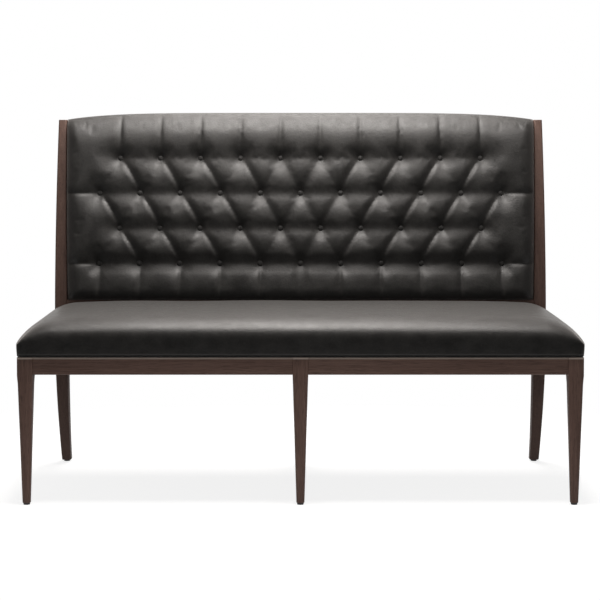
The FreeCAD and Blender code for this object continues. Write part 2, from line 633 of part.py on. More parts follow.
def seat_board_blank():
    """Plywood with its corners rounded as the seat's are."""
    body = doc.addObject("PartDesign::Body", "seat_board_body")
    plan = sketch_on(body, "seat_board_plan", "XY_Plane", "Sizes.rail_top")
    half = "(Places.seat_half - Places.board_inset)"
    front, rear = "(Places.seat_front + Places.board_inset)", "(Places.seat_rear - Places.board_inset)"
    turn, rear_turn = "Sizes.seat_corner", "Sizes.seat_rear_corner"
    outline(plan, [
        (f"-({half} - {turn})", front), (f"{half} - {turn}", front),
        (half, f"{front} + {turn}"), (half, f"{rear} - {rear_turn}"),
        (f"{half} - {rear_turn}", rear), (f"-({half} - {rear_turn})", rear),
        (f"-{half}", f"{rear} - {rear_turn}"), (f"-{half}", f"{front} + {turn}"),
    ], {1: (turn, 1), 3: (rear_turn, 1), 5: (rear_turn, 1), 7: (turn, 1)})
    pad_along(body, "seat_board_pad", plan, "Sizes.seat_board_thickness")
    return body


def seat(board_holes):
    """Plywood board on the rails, foam, leather and the cloth below."""
    leather, room = value("Sizes.leather"), value("Sizes.soft_clearance")
    bottom, board_top = value("Places.seat_bottom"), value("Places.seat_board_top")
    keep("seat_board", cut("seat_board", seat_board_blank(), board_holes))
    keep("seat_foam", fixed("seat_foam", seat_form(leather + room, board_top)))
    skin = seat_form(0, bottom).cut(seat_form(leather, bottom - leather))
    keep("seat_cover", fixed("seat_cover", skin))
    bays = []
    for side, sign in SIDES:
        ends = ["(Sizes.rail_thickness / 2 + Sizes.soft_clearance)",
                "(Places.side_rail_inner - 2 * Sizes.block_gap)"]
        if sign < 0:
            ends = [f"-{end}" for end in reversed(ends)]
        depth = ("Places.leg_back + Sizes.soft_clearance", "Places.rear_leg_front - Sizes.soft_clearance")
        bays.append(box(f"dust_cover_{side}", ends, depth,
                        ("Sizes.rail_top - Sizes.dust_cover_thickness", "Sizes.rail_top")))
    keep("seat_dust_cover", group("seat_dust_cover", bays))


def post_line(level):
    """Depth of the posts' front face at a height; the back follows it, and is upright above the posts."""
    radius, start = value("Places.front_top_radius"), value("Places.post_high")
    rise = max(0, min(level, value("Sizes.post_top")) - start)
    return value("Places.post_front") + radius - math.sqrt(radius ** 2 - rise ** 2)


def pad_half(level):
    """Half width of the back pad at a height: it fills the gap between the flared posts."""
    low, high = value("Places.pad_bottom"), value("Sizes.post_top")
    share = min(1, max(0, (level - low) / (high - low)))
    return value("Places.post_inner") + value("Sizes.post_flare") * share - value("Sizes.pad_side_gap")


def button_rows():
    """Heights of the rows of buttons and, for each, whether its buttons stand on the half pitch."""
    first = value("Places.pad_bottom + Sizes.first_row_rise")
    pitch = value("Sizes.row_pitch")
    count = int((value("Places.pad_top - Sizes.top_row_margin") - first) / pitch) + 1
    return [(first + pitch * row, row % 2 == 1) for row in range(count)]


def button_columns():
    """Number of whole-pitch buttons on each side of the middle one."""
    return int((value("Places.post_inner") - value("Sizes.end_margin")) / value("Sizes.button_pitch"))


# Uprights of the inner frame off the middle, in button pitches, clear of both kinds of row
MUNTIN_STEP = 1.75
# Roll of the pad's edges: shares of the height to the nearest row, the set-back and the tufts' relief
EDGE_ROLL = ((0, 1, 0.1), (0.1, 0.4, 0.4), (0.3, 0.1, 0.7), (0.6, 0, 0.9))
# Levels between two rows, and the tufts' depth kept at the pad's smooth ends, between rows and at the crest
ROW_STEPS = 4
END_RELIEF = 0.2
END_CREST = 0.3


def pad_levels():
    """Levels of the pad: height, phase of the tufts, set-back and relief.

    The phase is 0 on a whole-pitch row of buttons and 1 on a half-pitch one.
    """
    rows, flat = button_rows(), value("Sizes.button_seat") / 2
    bottom, top = value("Places.pad_bottom"), value("Places.pad_top")
    levels = [(bottom + (rows[0][0] - flat - bottom) * up, 0, value("Sizes.pad_bottom_roll") * back, relief)
              for up, back, relief in EDGE_ROLL]
    for number, (height, shifted) in enumerate(rows):
        levels += [(height - flat, int(shifted), 0, 1), (height + flat, int(shifted), 0, 1)]
        if number + 1 < len(rows):
            gap = rows[number + 1][0] - height - 2 * flat
            for step in range(1, ROW_STEPS):
                share = step / ROW_STEPS
                levels.append((height + flat + gap * share, 1 - share if shifted else share, 0, 1))
    last, phase = rows[-1][0] + flat, int(rows[-1][1])
    levels += [(top - (top - last) * up, phase, value("Sizes.pad_top_roll") * back, relief)
               for up, back, relief in reversed(EDGE_ROLL)]
    return with_level(levels, value("Sizes.post_top"))


def with_level(levels, height):
    """Levels with one more between its two neighbours, where the back's curve ends."""
    above = next(number for number, level in enumerate(levels) if level[0] > height)
    low, high = levels[above - 1], levels[above]
    share = (height - low[0]) / (high[0] - low[0])
    middle = tuple(first + (second - first) * share for first, second in zip(low, high))
    return levels[:above] + [middle] + levels[above:] if share > 0.05 else levels


def pad_section(level, phase, set_back, relief, inset, back):
    """Level of the tufted pad: pillows as arcs, button seats as lines, then the sides and the rear."""
    pitch, seat_width = value("Sizes.button_pitch"), value("Sizes.button_seat")
    proud, sink, pleat = value("Sizes.pad_proud"), value("Sizes.button_sink"), value("Sizes.pleat_sink")
    top_share = set_back / value("Sizes.pad_top_roll") if level > value("Sizes.post_top") else 0
    half = pad_half(level) - value("Sizes.pad_top_shrink") * top_share - inset
    line = post_line(level) + inset

    def skin(depth):
        """Depth of the skin, from a depth behind the pillows' crest."""
        return line - proud + set_back + depth * relief

    whole_crest = sink * (1 - math.sqrt(1 - (1 - phase) ** 2))
    half_crest = sink * (1 - math.sqrt(1 - phase ** 2))
    valley = sink + (pleat - sink) * 4 * phase * (1 - phase)
    reach = seat_width / 2 + phase * (pitch / 2 - seat_width)
    columns = button_columns()
    edge = columns * pitch + seat_width / 2
    marks = [number * pitch + side * reach for number in range(-columns, columns + 1) for side in (-1, 1)]
    marks[0], marks[-1] = -edge, edge
    rear = post_line(level) + back
    side_face = min(skin(sink) + value("Sizes.pad_side_lip"), rear - 1)
    corners = [Vector(-half, side_face, level)]
    end_valley = sink * (1 - (1 - END_RELIEF) * phase)
    depths = [end_valley] + [valley] * (len(marks) - 2) + [end_valley]
    corners += [Vector(mark, skin(depth), level) for mark, depth in zip(marks, depths)]
    corners.append(Vector(half, side_face, level))
    edges = [Part.makeLine(Vector(-half, rear, level), corners[0])]
    for number, (start, end) in enumerate(zip(corners, corners[1:])):
        outer = number in (0, len(corners) - 2)
        crest = skin(sink * END_CREST) if outer else skin(whole_crest if number % 2 else half_crest)
        middle = Vector((start.x + end.x) / 2, crest, level)
        straight = abs(middle.y - (start.y + end.y) / 2) < 0.05
        edges.append(Part.makeLine(start, end) if straight else Part.Arc(start, middle, end).toShape())
    edges.append(Part.makeLine(corners[-1], Vector(half, rear, level)))
    edges.append(Part.makeLine(Vector(half, rear, level), Vector(-half, rear, level)))
    return Part.Wire(edges)


def pad_form(inset, back):
    """Tufted pad; inset moves its skin inwards and back is its rear face behind the posts' front face."""
    levels = pad_levels()
    wires = []
    for number, (level, phase, set_back, relief) in enumerate(levels):
        shift = inset if number == 0 else -inset if number == len(levels) - 1 else 0
        wires.append(pad_section(level + shift, phase, set_back, relief, inset, back))
    return Part.makeLoft(wires, True, True)


def back_slab(half, low, high, front, rear):
    """Panel that follows the back's curve between two depths behind the posts' front face."""
    middle = (low + high) / 2
    front_points = [Vector(-half, post_line(level) + front, level) for level in (low, middle, high)]
    rear_points = [Vector(-half, post_line(level) + rear, level) for level in (high, middle, low)]
    wire = Part.Wire([Part.Arc(*front_points).toShape(), Part.makeLine(front_points[2], rear_points[0]),
                      Part.Arc(*rear_points).toShape(), Part.makeLine(rear_points[2], front_points[0])])
    return Part.Face(wire).extrude(Vector(2 * half, 0, 0))


def button_places():
    """Place of each button's seat, with +Z out of the pad."""
    flat, pitch, columns = value("Sizes.button_seat") / 2, value("Sizes.button_pitch"), button_columns()
    depth = value("Sizes.button_sink") - value("Sizes.pad_proud")
    spots = []
    for height, shifted in button_rows():
        low, high = post_line(height - flat), post_line(height + flat)
        lean = math.atan2(high - low, 2 * flat)
        normal = Vector(0, -math.cos(lean), math.sin(lean))
        turn = Rotation(Vector(0, 0, 1), normal)
        count = 2 * columns if shifted else 2 * columns + 1
        for number in range(count):
            x = (number - (count - 1) / 2) * pitch
            spots.append(Placement(Vector(x, (low + high) / 2 + depth, height), turn))
    return spots


def tie_length(spot):
    """Distance from a button's seat to the rear of the back board, along the twine."""
    normal = spot.Rotation.multVec(Vector(0, 0, 1))
    distance = value("Places.frame_front")
    for step in range(6):
        point = spot.Base - normal * distance
        distance += (post_line(point.z) + value("Places.frame_front") - point.y) / -normal.y
    return distance


def spread(shape, spots):
    """Copies of a shape at places."""
    copies = []
    for spot in spots:
        copy = shape.copy()
        copy.Placement = spot
        copies.append(copy)
    return copies


def covered_button():
    """Domed button on its seat."""
    radius, rim, top = [value(f"Sizes.button_{name}") for name in ("diameter / 2", "rim", "thickness")]
    ball = (radius ** 2 + (top - rim) ** 2) / 2 / (top - rim)
    half_turn = math.asin(radius / ball) / 2
    shoulder = Vector(ball * math.sin(half_turn), 0, top - ball * (1 - math.cos(half_turn)))
    dome = Part.Arc(Vector(radius, 0, rim), shoulder, Vector(0, 0, top)).toShape()
    wire = Part.Wire([Part.makeLine(Vector(), Vector(radius, 0, 0)),
                      Part.makeLine(Vector(radius, 0, 0), Vector(radius, 0, rim)), dome,
                      Part.makeLine(Vector(0, 0, top), Vector())])
    return Part.Face(wire).revolve(Vector(), Vector(0, 0, 1), 360)


def back():
    """Inner frame, board, foam, leather, buttons and ties of the back; returns the holes for its dowels."""
    leather, room = value("Sizes.leather"), value("Sizes.soft_clearance")
    low, high, half = [value(f"Places.frame_{name}") for name in ("bottom", "top", "half")]
    front, rear = value("Places.frame_front"), value("Places.frame_back")
    board_front, member = value("Sizes.board_setback"), value("Sizes.back_frame_width")
    dowel_list = back_dowels(low, high, half, (front + rear) / 2)
    dowel_shape = Part.makeCompound([dowel.Shape for dowel in dowel_list])
    spots = button_places()
    lengths = [tie_length(spot) for spot in spots]
    deepest = max(lengths)
    twine_radius = value("Sizes.twine_diameter") / 2
    hole = Part.makeCylinder(twine_radius + room, 2 * deepest, Vector(0, 0, -deepest - room))
    holes = Part.makeCompound(spread(hole, spots))

    board = back_slab(half, low, high, board_front, front).cut(holes)
    keep("back_board", fixed("back_board", board))
    keep("back_top_rail", fixed("back_top_rail", back_slab(half, high - member, high, front, rear)))
    keep("back_bottom_rail", fixed("back_bottom_rail", back_slab(half, low, low + member, front, rear)))
    for side, sign in SIDES:
        stile = back_slab(member / 2, low + member, high - member, front, rear)
        stile.translate(Vector(sign * (half - member / 2), 0, 0))
        keep(f"back_stile_{side}", fixed(f"back_stile_{side}", stile.cut(dowel_shape)))
        upright = back_slab(value("Sizes.muntin_width") / 2, low + member, high - member, front, rear)
        upright.translate(Vector(sign * MUNTIN_STEP * value("Sizes.button_pitch"), 0, 0))
        keep(f"back_muntin_{side}", fixed(f"back_muntin_{side}", upright))

    cavity = back_slab(2 * half, low - 2 * member, high + room, board_front - room, 3 * member)
    foam = pad_form(leather + room, rear).cut(cavity).cut(holes)
    keep("back_foam", fixed("back_foam", foam))

    turn_in = value("Sizes.turn_in")
    opening = back_slab(half - turn_in, low + turn_in, high - turn_in, rear - room, 3 * member)
    skin = pad_form(0, value("Places.cover_back")).cut(pad_form(leather, rear + room))
    skin = skin.cut(opening).cut(holes).cut(dowel_shape)
    keep("back_cover", fixed("back_cover", skin))

    margin = value("Sizes.outside_back_margin")
    panel_front = value("Places.cover_back") + room
    panel = back_slab(half - margin, low + margin, high - margin, panel_front,
                      panel_front + value("Sizes.outside_back_thickness"))
    keep("outside_back", fixed("outside_back", panel))

    keep("tuft_buttons", fixed("tuft_buttons", Part.makeCompound(spread(covered_button(), spots))))
    twines, toggles = [], []
    for spot, length in zip(spots, lengths):
        twine = Part.makeCylinder(twine_radius, length + room, Vector(0, 0, -length - room))
        toggle = Part.makeCylinder(value("Sizes.toggle_diameter") / 2, value("Sizes.toggle_thickness"),
                                   Vector(0, 0, -length - room - value("Sizes.toggle_thickness")))
        twines += spread(twine, [spot])
        toggles += spread(toggle, [spot])
    keep("tuft_twines", fixed("tuft_twines", Part.makeCompound(twines)))
    keep("twine_toggles", fixed("twine_toggles", Part.makeCompound(toggles)))
    return dowel_list


def back_dowels(low, high, half, depth):
    """Dowels that hold the back between the posts, three on each side."""
    length = value("2 * Sizes.back_dowel_depth")
    dowel_list = []
    for side, sign in SIDES:
        for name, share in (("low", 0.2), ("middle", 0.5), ("high", 0.8)):
            level = low + (high - low) * share
            start = Vector(sign * pad_half(level) - length / 2, post_line(level) + depth, level)
            radius = value("Sizes.back_dowel_diameter") / 2
            shape = Part.makeCylinder(radius, length, start, Vector(1, 0, 0))
            dowel_list.append(fixed(f"back_dowel_{side}_{name}", shape))
    keep("back_dowels", group("back_dowels", dowel_list))
    return dowel_list


def write_parts():
    """Check every object and write each sub-part to its own file."""
    doc.recompute()
    for item in doc.Objects:
        bad = [state for state in item.State if state in ("Invalid", "Error")]
        if bad:
            raise RuntimeError(f"{item.Name} is {bad}")
    for label, item in parts.items():
        shape = item.Shape
        if shape.isNull() or not shape.isValid() or not shape.Solids:
            raise RuntimeError(f"{label} has no valid solid")
    os.makedirs("parts", exist_ok=True)
    for label, item in parts.items():
        solids = item.Shape.Solids
        shape = solids[0] if len(solids) == 1 else item.Shape
        shape.exportStep(f"parts/{label}.step")
        print(f"{label}: {len(solids)} solids, {item.Shape.Volume / 1000:.1f} cm3")


frame_joints()
for side, sign in SIDES:
    leg(f"front_leg_{side}", f"{sign} * Places.leg_centre_x", "Places.leg_centre_y")
leg("front_leg_centre", "0", "Places.leg_centre_y")
leg("rear_leg_centre", "0", "Places.rear_leg_centre_y")
rail_holes, board_holes = corner_blocks()
rails(rail_holes)
foot_glides()
seat(board_holes)
post_holes = back()
for side, sign in SIDES:
    rear_post(side, sign, [hole for hole in post_holes if side in hole.Name])
write_parts()
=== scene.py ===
"""Leather dining bench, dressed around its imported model.

Walnut legs, posts and rails, a crowned leather seat and a diamond-tufted leather back with covered buttons.
Metres, +Z up, the front faces -Y, and the origin is on the floor under the middle of the bench.
"""
from __future__ import annotations

import logging
import math
from dataclasses import dataclass
from enum import Enum

import bmesh
import bpy
import numpy as np
from mathutils import Matrix, Vector


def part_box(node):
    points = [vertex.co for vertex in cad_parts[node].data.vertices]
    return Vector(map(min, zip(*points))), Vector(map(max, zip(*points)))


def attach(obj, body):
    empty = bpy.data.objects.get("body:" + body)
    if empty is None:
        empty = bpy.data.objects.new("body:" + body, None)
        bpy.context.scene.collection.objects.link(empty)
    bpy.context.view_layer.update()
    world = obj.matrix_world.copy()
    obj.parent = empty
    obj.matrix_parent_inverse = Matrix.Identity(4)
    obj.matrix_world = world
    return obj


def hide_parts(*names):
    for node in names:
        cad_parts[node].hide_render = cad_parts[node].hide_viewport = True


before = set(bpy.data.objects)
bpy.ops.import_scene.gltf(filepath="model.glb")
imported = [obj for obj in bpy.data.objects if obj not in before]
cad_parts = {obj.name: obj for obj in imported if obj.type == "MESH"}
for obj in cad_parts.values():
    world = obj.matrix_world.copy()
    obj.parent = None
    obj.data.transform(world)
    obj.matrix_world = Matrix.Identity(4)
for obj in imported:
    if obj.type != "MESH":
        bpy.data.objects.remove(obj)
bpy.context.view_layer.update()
BODY = "root"
MM = 0.001
EVEN = (1.0, 1.0, 1.0)
WHITE = (1.0, 1.0, 1.0, 1.0)
log = logging.getLogger("dining_bench")


class Run(Enum):
    """Direction that a piece's grain runs in."""

    ACROSS = (0.0, 1.0, 1.0)
    DEEP = (1.0, 0.0, 1.0)
    UPRIGHT = (1.0, 1.0, 0.0)


class Sock:
    """Output of a shader node that takes part in Python expressions."""

    def __init__(self, shader: Shader, socket: bpy.types.NodeSocket) -> None:
        """Keep the shader that the socket belongs to."""
        self.shader = shader
        self.socket = socket

    def maths(self, operation: str, *values: Sock | float) -> Sock:
        """Add one Math node.

        Args:
            operation: name of the Math node's operation.
            values: its inputs, in order.

        Returns:
            The node's output.
        """
        return self.shader.node("ShaderNodeMath", {"operation": operation}, dict(enumerate(values)))

    def __add__(self, other: Sock | float) -> Sock:
        """Sum."""
        return self.maths("ADD", self, other)

    def __radd__(self, other: float) -> Sock:
        """Sum with a number first."""
        return self.maths("ADD", other, self)

    def __sub__(self, other: Sock | float) -> Sock:
        """Difference."""
        return self.maths("SUBTRACT", self, other)

    def __rsub__(self, other: float) -> Sock:
        """Difference with a number first."""
        return self.maths("SUBTRACT", other, self)

    def __mul__(self, other: Sock | float) -> Sock:
        """Product."""
        return self.maths("MULTIPLY", self, other)

    def __rmul__(self, other: float) -> Sock:
        """Product with a number first."""
        return self.maths("MULTIPLY", other, self)

    def at_most(self, other: Sock | float) -> Sock:
        """Smaller of two values."""
        return self.maths("MINIMUM", self, other)

    def at_least(self, other: Sock | float) -> Sock:
        """Larger of two values."""
        return self.maths("MAXIMUM", self, other)

    def clamped(self) -> Sock:
        """Value kept between nothing and one."""
        return self.at_least(0.0).at_most(1.0)


@dataclass(frozen=True)
class Grain:
    """Noise that a finish is made of: how fine it is, its detail and its roughness."""

    scale: float = 1.0
    detail: float = 4.0
    roughness: float = 0.55


class Shader:
    """Node tree of a material or of the world."""

    def __init__(self, owner: bpy.types.Material | bpy.types.World) -> None:
        """Clear the owner's node tree.

        Args:
            owner: the material or world whose tree is built.
        """
        owner.use_nodes = True
        self.tree = owner.node_tree
        self.tree.nodes.clear()

    def node(self, kind: str, settings: dict | None = None, sockets: dict | None = None,
             output: str | int = 0) -> Sock:
        """Make a node.

        Args:
            kind: the node's type.
            settings: properties set before the sockets; stops gives a colour ramp its positions and colours.
            sockets: values or outputs for the node's inputs, by name or number.
            output: the output that is returned, by name or number.

        Returns:
            The chosen output.
        """
        made = self.tree.nodes.new(kind)
        for name, setting in (settings or {}).items():
            if name == "stops":
                elements = made.color_ramp.elements
                while len(elements) < len(setting):
                    elements.new(0.5)
                for element, (position, colour) in zip(elements, setting):
                    element.position = position
                    element.color = (*colour, 1.0)
            else:
                setattr(made, name, setting)
        for name, content in (sockets or {}).items():
            if isinstance(content, Sock):
                self.tree.links.new(content.socket, made.inputs[name])
            else:
                made.inputs[name].default_value = content
        return Sock(self, made.outputs[output])

    def noise(self, place: Sock, grain: Grain) -> Sock:
        """Noise value at a place."""
        return self.node("ShaderNodeTexNoise", None, {
            "Vector": place, "Scale": grain.scale, "Detail": grain.detail, "Roughness": grain.roughness}, "Fac")

    def ramp(self, value: Sock, *stops: tuple[float, tuple[float, float, float]]) -> Sock:
        """Colour of a value between stops."""
        return self.node("ShaderNodeValToRGB", {"stops": stops}, {"Fac": value}, "Color")

    def blend(self, share: Sock | float, first: Sock, second: Sock | tuple, mode: str = "MIX") -> Sock:
        """Two colours mixed."""
        return self.node("ShaderNodeMix", {"data_type": "RGBA", "blend_type": mode}, {
            "Factor": share, 6: first, 7: second}, 2)

    def stretched(self, scale: tuple[float, float, float]) -> Sock:
        """Object coordinates stretched along each axis."""
        place = self.node("ShaderNodeTexCoord", None, None, "Object")
        return self.node("ShaderNodeMapping", None, {"Vector": place, "Scale": scale})

    def level(self) -> Sock:
        """Height above the floor."""
        return self.node("ShaderNodeSeparateXYZ", None, {"Vector": self.stretched(EVEN)}, "Z")

    def surface(self, constants: dict, varied: dict, height: Sock, strength: float, depth: float) -> None:
        """End the tree in a Principled surface with a bump.

        Args:
            constants: sockets with one value all over.
            varied: sockets that change over the surface.
            height: height that the bump follows.
            strength: strength of the bump.
            depth: distance that a height of one stands for.
        """
        bump = self.node("ShaderNodeBump", None, {"Height": height, "Strength": strength, "Distance": depth})
        surface = self.node("ShaderNodeBsdfPrincipled", None, {**constants, **varied, "Normal": bump})
        self.finish(surface)

    def finish(self, surface: Sock, owner: str = "Material") -> None:
        """Link a surface to the output of the material or the world."""
        made = self.tree.nodes.new(f"ShaderNodeOutput{owner}")
        self.tree.links.new(surface.socket, made.inputs["Surface"])


@dataclass(frozen=True)
class WalnutFinish:
    """Dark stained walnut under satin lacquer, with its grain along one direction.

    The heights in the band are where a painted highlight along the rounded top edge of the rails starts, is
    full and ends: a lighter colour that stands for light caught on that edge.
    """

    run: Run
    name: str = "walnut"
    # Scales every tone; below one it is painted shade, a darker copy of the walnut for pieces the lamps light
    # more
    painted_shade_factor: float = 1.0
    dark: tuple[float, float, float] = (0.075, 0.043, 0.033)
    middle: tuple[float, float, float] = (0.119, 0.070, 0.055)
    light: tuple[float, float, float] = (0.156, 0.097, 0.077)
    # Colour, heights, fade and share of the painted highlight on the rounded top edge of the rails
    painted_highlight: tuple[float, float, float] = (0.42, 0.35, 0.30)
    painted_highlight_band: tuple[float, ...] = (0.3955, 0.3990, 0.4019)
    painted_highlight_fade: float = 1 * MM
    painted_highlight_share: float = 0.9
    lacquer: float = 0.46
    lacquer_spread: float = 0.14
    shine: float = 0.22
    figure_scale: tuple[float, float] = (14.0, 1.3)
    streak_scale: tuple[float, float] = (150.0, 5.0)
    pore_scale: tuple[float, float] = (900.0, 30.0)
    figure_grain: Grain = Grain(detail=3.0)
    streak_grain: Grain = Grain(detail=5.0, roughness=0.62)
    pore_grain: Grain = Grain(detail=2.0)
    figure_share: float = 0.45
    tone_stops: tuple[float, float, float] = (0.30, 0.50, 0.72)
    pore_stops: tuple[float, float] = (0.36, 0.46)
    pore_tone: tuple[float, float, float] = (0.45, 0.45, 0.45)
    pore_share: float = 0.7
    pore_relief: float = 0.6
    bump: float = 0.35
    relief: float = 0.0003

    def grained(self, shader: Shader, scale: tuple[float, float], grain: Grain) -> Sock:
        """Noise that is stretched along the grain.

        Args:
            shader: the material's node tree.
            scale: scale across the grain and along it.
            grain: the noise.

        Returns:
            The noise's value.
        """
        across, along = scale
        place = shader.stretched(tuple(across * part + along * (1 - part) for part in self.run.value))
        return shader.noise(place, grain)

    def make(self) -> bpy.types.Material:
        """Make the material: broad figure, fine streaks, short open pores and a painted highlight along the
        upper edge.

        Returns:
            The material.
        """
        material = bpy.data.materials.new(f"{self.name}_{self.run.name.lower()}")
        shader = Shader(material)
        figure = self.grained(shader, self.figure_scale, self.figure_grain)
        streaks = self.grained(shader, self.streak_scale, self.streak_grain)
        pores = self.grained(shader, self.pore_scale, self.pore_grain)
        tone = figure * self.figure_share + streaks * (1 - self.figure_share)
        colours = (self.dark, self.middle, self.light)
        tones = [tuple(self.painted_shade_factor * part for part in colour) for colour in colours]
        wood = shader.ramp(tone, *zip(self.tone_stops, tones))
        open_pores = shader.ramp(pores, *zip(self.pore_stops, (self.pore_tone, EVEN)))
        colour = shader.blend(self.pore_share, wood, open_pores, "MULTIPLY")
        # Painted highlight: lighter colour along the rounded top edge, standing for light that edge catches
        if self.painted_highlight_band:
            level = shader.level()
            low, high, end = self.painted_highlight_band
            rising = (level - low) * (1 / (high - low))
            falling = (end - level) * (1 / self.painted_highlight_fade)
            painted_highlight = rising.at_most(falling).clamped() * self.painted_highlight_share
            colour = shader.blend(painted_highlight, colour, (*self.painted_highlight, 1.0))
        roughness = streaks * self.lacquer_spread + self.lacquer
        shader.surface({"Specular IOR Level": self.shine}, {"Base Color": colour, "Roughness": roughness},
                       streaks + pores * self.pore_relief, self.bump, self.relief)
        return material


@dataclass(frozen=True)
class LeatherFinish:
    """Charcoal upholstery leather: fine pebble grain, slight mottling, semi-gloss.

    The band is the pair of heights between which the leather fades from black, below, to its own tone: painted
    shade that stands for the dark shadow line between the seat's lower edge and the rails, where the leather is
    also made fully rough.
    """

    name: str = "leather"
    dark: tuple[float, float, float] = (0.0066, 0.0062, 0.0058)
    light: tuple[float, float, float] = (0.0150, 0.0141, 0.0131)
    # Black of the painted shade at the seat's lower edge
    painted_shade_tone: tuple[float, float, float] = (0.0006, 0.0006, 0.0006)
    gloss: float = 0.40
    cloud_gloss: float = 0.34
    blotch_gloss: float = 0.26
    pebble_gloss: float = 0.10
    sheen: float = 0.28
    sheen_roughness: float = 0.45
    sheen_tint: tuple[float, float, float] = (1.0, 0.95, 0.91)
    shine: float = 0.31
    pebbles: float = 620.0
    pebble_softness: float = 0.35
    creases: Grain = Grain(240.0, 3.0, 0.6)
    clouds: Grain = Grain(26.0, 5.0, 0.6)
    fine: Grain = Grain(170.0, 2.0)
    blotches: Grain = Grain(75.0, 3.0)
    cloud_share: float = 0.6
    tone_stops: tuple[float, float] = (0.36, 0.64)
    crease_relief: float = 0.5
    fine_relief: float = 1.1
    pebble_relief: float = 0.8
    bump: float = 0.55
    relief: float = 0.0006
    # Heights of the painted shade band at the lower edge; empty for none
    painted_shade_band: tuple[float, ...] = ()

    def make(self) -> bpy.types.Material:
        """Make the material: pebbled grain that breaks up the gloss, over soft mottling.

        Returns:
            The material.
        """
        material = bpy.data.materials.new(self.name)
        shader = Shader(material)
        place = shader.stretched(EVEN)
        cells = shader.node("ShaderNodeTexVoronoi", {"feature": "SMOOTH_F1"}, {
            "Vector": place, "Scale": self.pebbles, "Smoothness": self.pebble_softness}, "Distance")
        creases, clouds, fine, blotches = [
            shader.noise(place, grain) for grain in (self.creases, self.clouds, self.fine, self.blotches)]
        tone = clouds * self.cloud_share + fine * (1 - self.cloud_share)
        colour = shader.ramp(tone, *zip(self.tone_stops, (self.dark, self.light)))
        roughness = (self.gloss + (clouds - 0.5) * self.cloud_gloss + (blotches - 0.5) * self.blotch_gloss
                     + cells * self.pebble_gloss)
        # Painted shade: black colour and full roughness below the band, standing for the shadow line under the
        # seat
        if self.painted_shade_band:
            low, high = self.painted_shade_band
            painted_shade = ((high - shader.level()) * (1 / (high - low))).clamped()
            colour = shader.blend(painted_shade, colour, (*self.painted_shade_tone, 1.0))
            roughness = roughness + painted_shade
        height = creases * self.crease_relief + fine * self.fine_relief - cells * self.pebble_relief
        constants = {"Specular IOR Level": self.shine, "Sheen Weight": self.sheen,
                     "Sheen Roughness": self.sheen_roughness, "Sheen Tint": (*self.sheen_tint, 1.0)}
        shader.surface(constants, {"Base Color": colour, "Roughness": roughness},
                       height, self.bump, self.relief)
        return material


@dataclass(frozen=True)
class PlainFinish:
    """Finish of a hidden or small piece: two tones, a roughness and a fine texture."""

    name: str
    dark: tuple[float, float, float]
    light: tuple[float, float, float]
    roughness: float
    stretch: tuple[float, float, float]
    metallic: float = 0.0
    relief: float = 0.0002
    bump: float = 0.3
    tone_stops: tuple[float, float] = (0.35, 0.65)
    spread: float = 0.12

    def make(self) -> bpy.types.Material:
        """Make the material from one noise that is stretched to the piece's texture.

        Returns:
            The material.
        """
        material = bpy.data.materials.new(self.name)
        shader = Shader(material)
        texture = shader.noise(shader.stretched(self.stretch), Grain())
        colour = shader.ramp(texture, *zip(self.tone_stops, (self.dark, self.light)))
        roughness = self.roughness + texture * self.spread
        shader.surface({"Metallic": self.metallic}, {"Base Color": colour, "Roughness": roughness},
                       texture, self.bump, self.relief)
        return material


PALE_WOOD = PlainFinish("pale_wood", (0.42, 0.29, 0.17), (0.60, 0.44, 0.28), 0.55, (60.0, 60.0, 6.0))
PLYWOOD = PlainFinish("plywood", (0.44, 0.31, 0.19), (0.62, 0.47, 0.31), 0.6, (8.0, 80.0, 80.0))
STEEL = PlainFinish("zinc_steel", (0.42, 0.42, 0.44), (0.62, 0.62, 0.64), 0.3, (300.0, 300.0, 300.0),
                    metallic=1.0)
GLIDE_PLASTIC = PlainFinish("glide_plastic", (0.010, 0.010, 0.010), (0.020, 0.019, 0.018), 0.45,
                            (400.0, 400.0, 400.0))
# Dark cloth of the dust cover and the rear flap; the seat board takes it too, and its edge in the gap under the
# seat is painted shade for the dark line there
LINING_AND_PAINTED_SHADE = PlainFinish("lining", (0.012, 0.012, 0.012), (0.024, 0.024, 0.024), 0.85, (900.0, 900.0, 900.0),
                     relief=0.0004)
TWINE = PlainFinish("twine", (0.30, 0.26, 0.19), (0.48, 0.43, 0.33), 0.8, (900.0, 900.0, 300.0))


def to_object(shape: bmesh.types.BMesh, name: str) -> bpy.types.Object:
    """Turn a bmesh into an object with smooth faces.

    Args:
        shape: the bmesh, which is freed.
        name: the object's name.

    Returns:
        The new object, linked to the scene.
    """
    for face in shape.faces:
        face.smooth = True
    mesh = bpy.data.meshes.new(name)
    shape.to_mesh(mesh)
    shape.free()
    piece = bpy.data.objects.new(name, mesh)
    bpy.context.scene.collection.objects.link(piece)
    return piece


def opened(piece: bpy.types.Object) -> bmesh.types.BMesh:
    """Take a piece's mesh into a bmesh.

    Args:
        piece: the piece.

    Returns:
        The bmesh.
    """
    shape = bmesh.new()
    shape.from_mesh(piece.data)
    return shape


def closed(shape: bmesh.types.BMesh, piece: bpy.types.Object) -> None:
    """Put a bmesh back into its piece, with its faces outward and smooth.

    Args:
        shape: the bmesh, which is freed.
        piece: the piece that it came from.
    """
    bmesh.ops.recalc_face_normals(shape, faces=shape.faces)
    for face in shape.faces:
        face.smooth = True
    shape.to_mesh(piece.data)
    shape.free()


def rim_of(shape: bmesh.types.BMesh) -> list[bmesh.types.BMEdge]:
    """Open edges of a shape."""
    return [edge for edge in shape.edges if edge.is_boundary]


def new_vertices(made: dict) -> list[bmesh.types.BMVert]:
    """Vertices that an operator made."""
    return [item for item in made["geom"] if isinstance(item, bmesh.types.BMVert)]


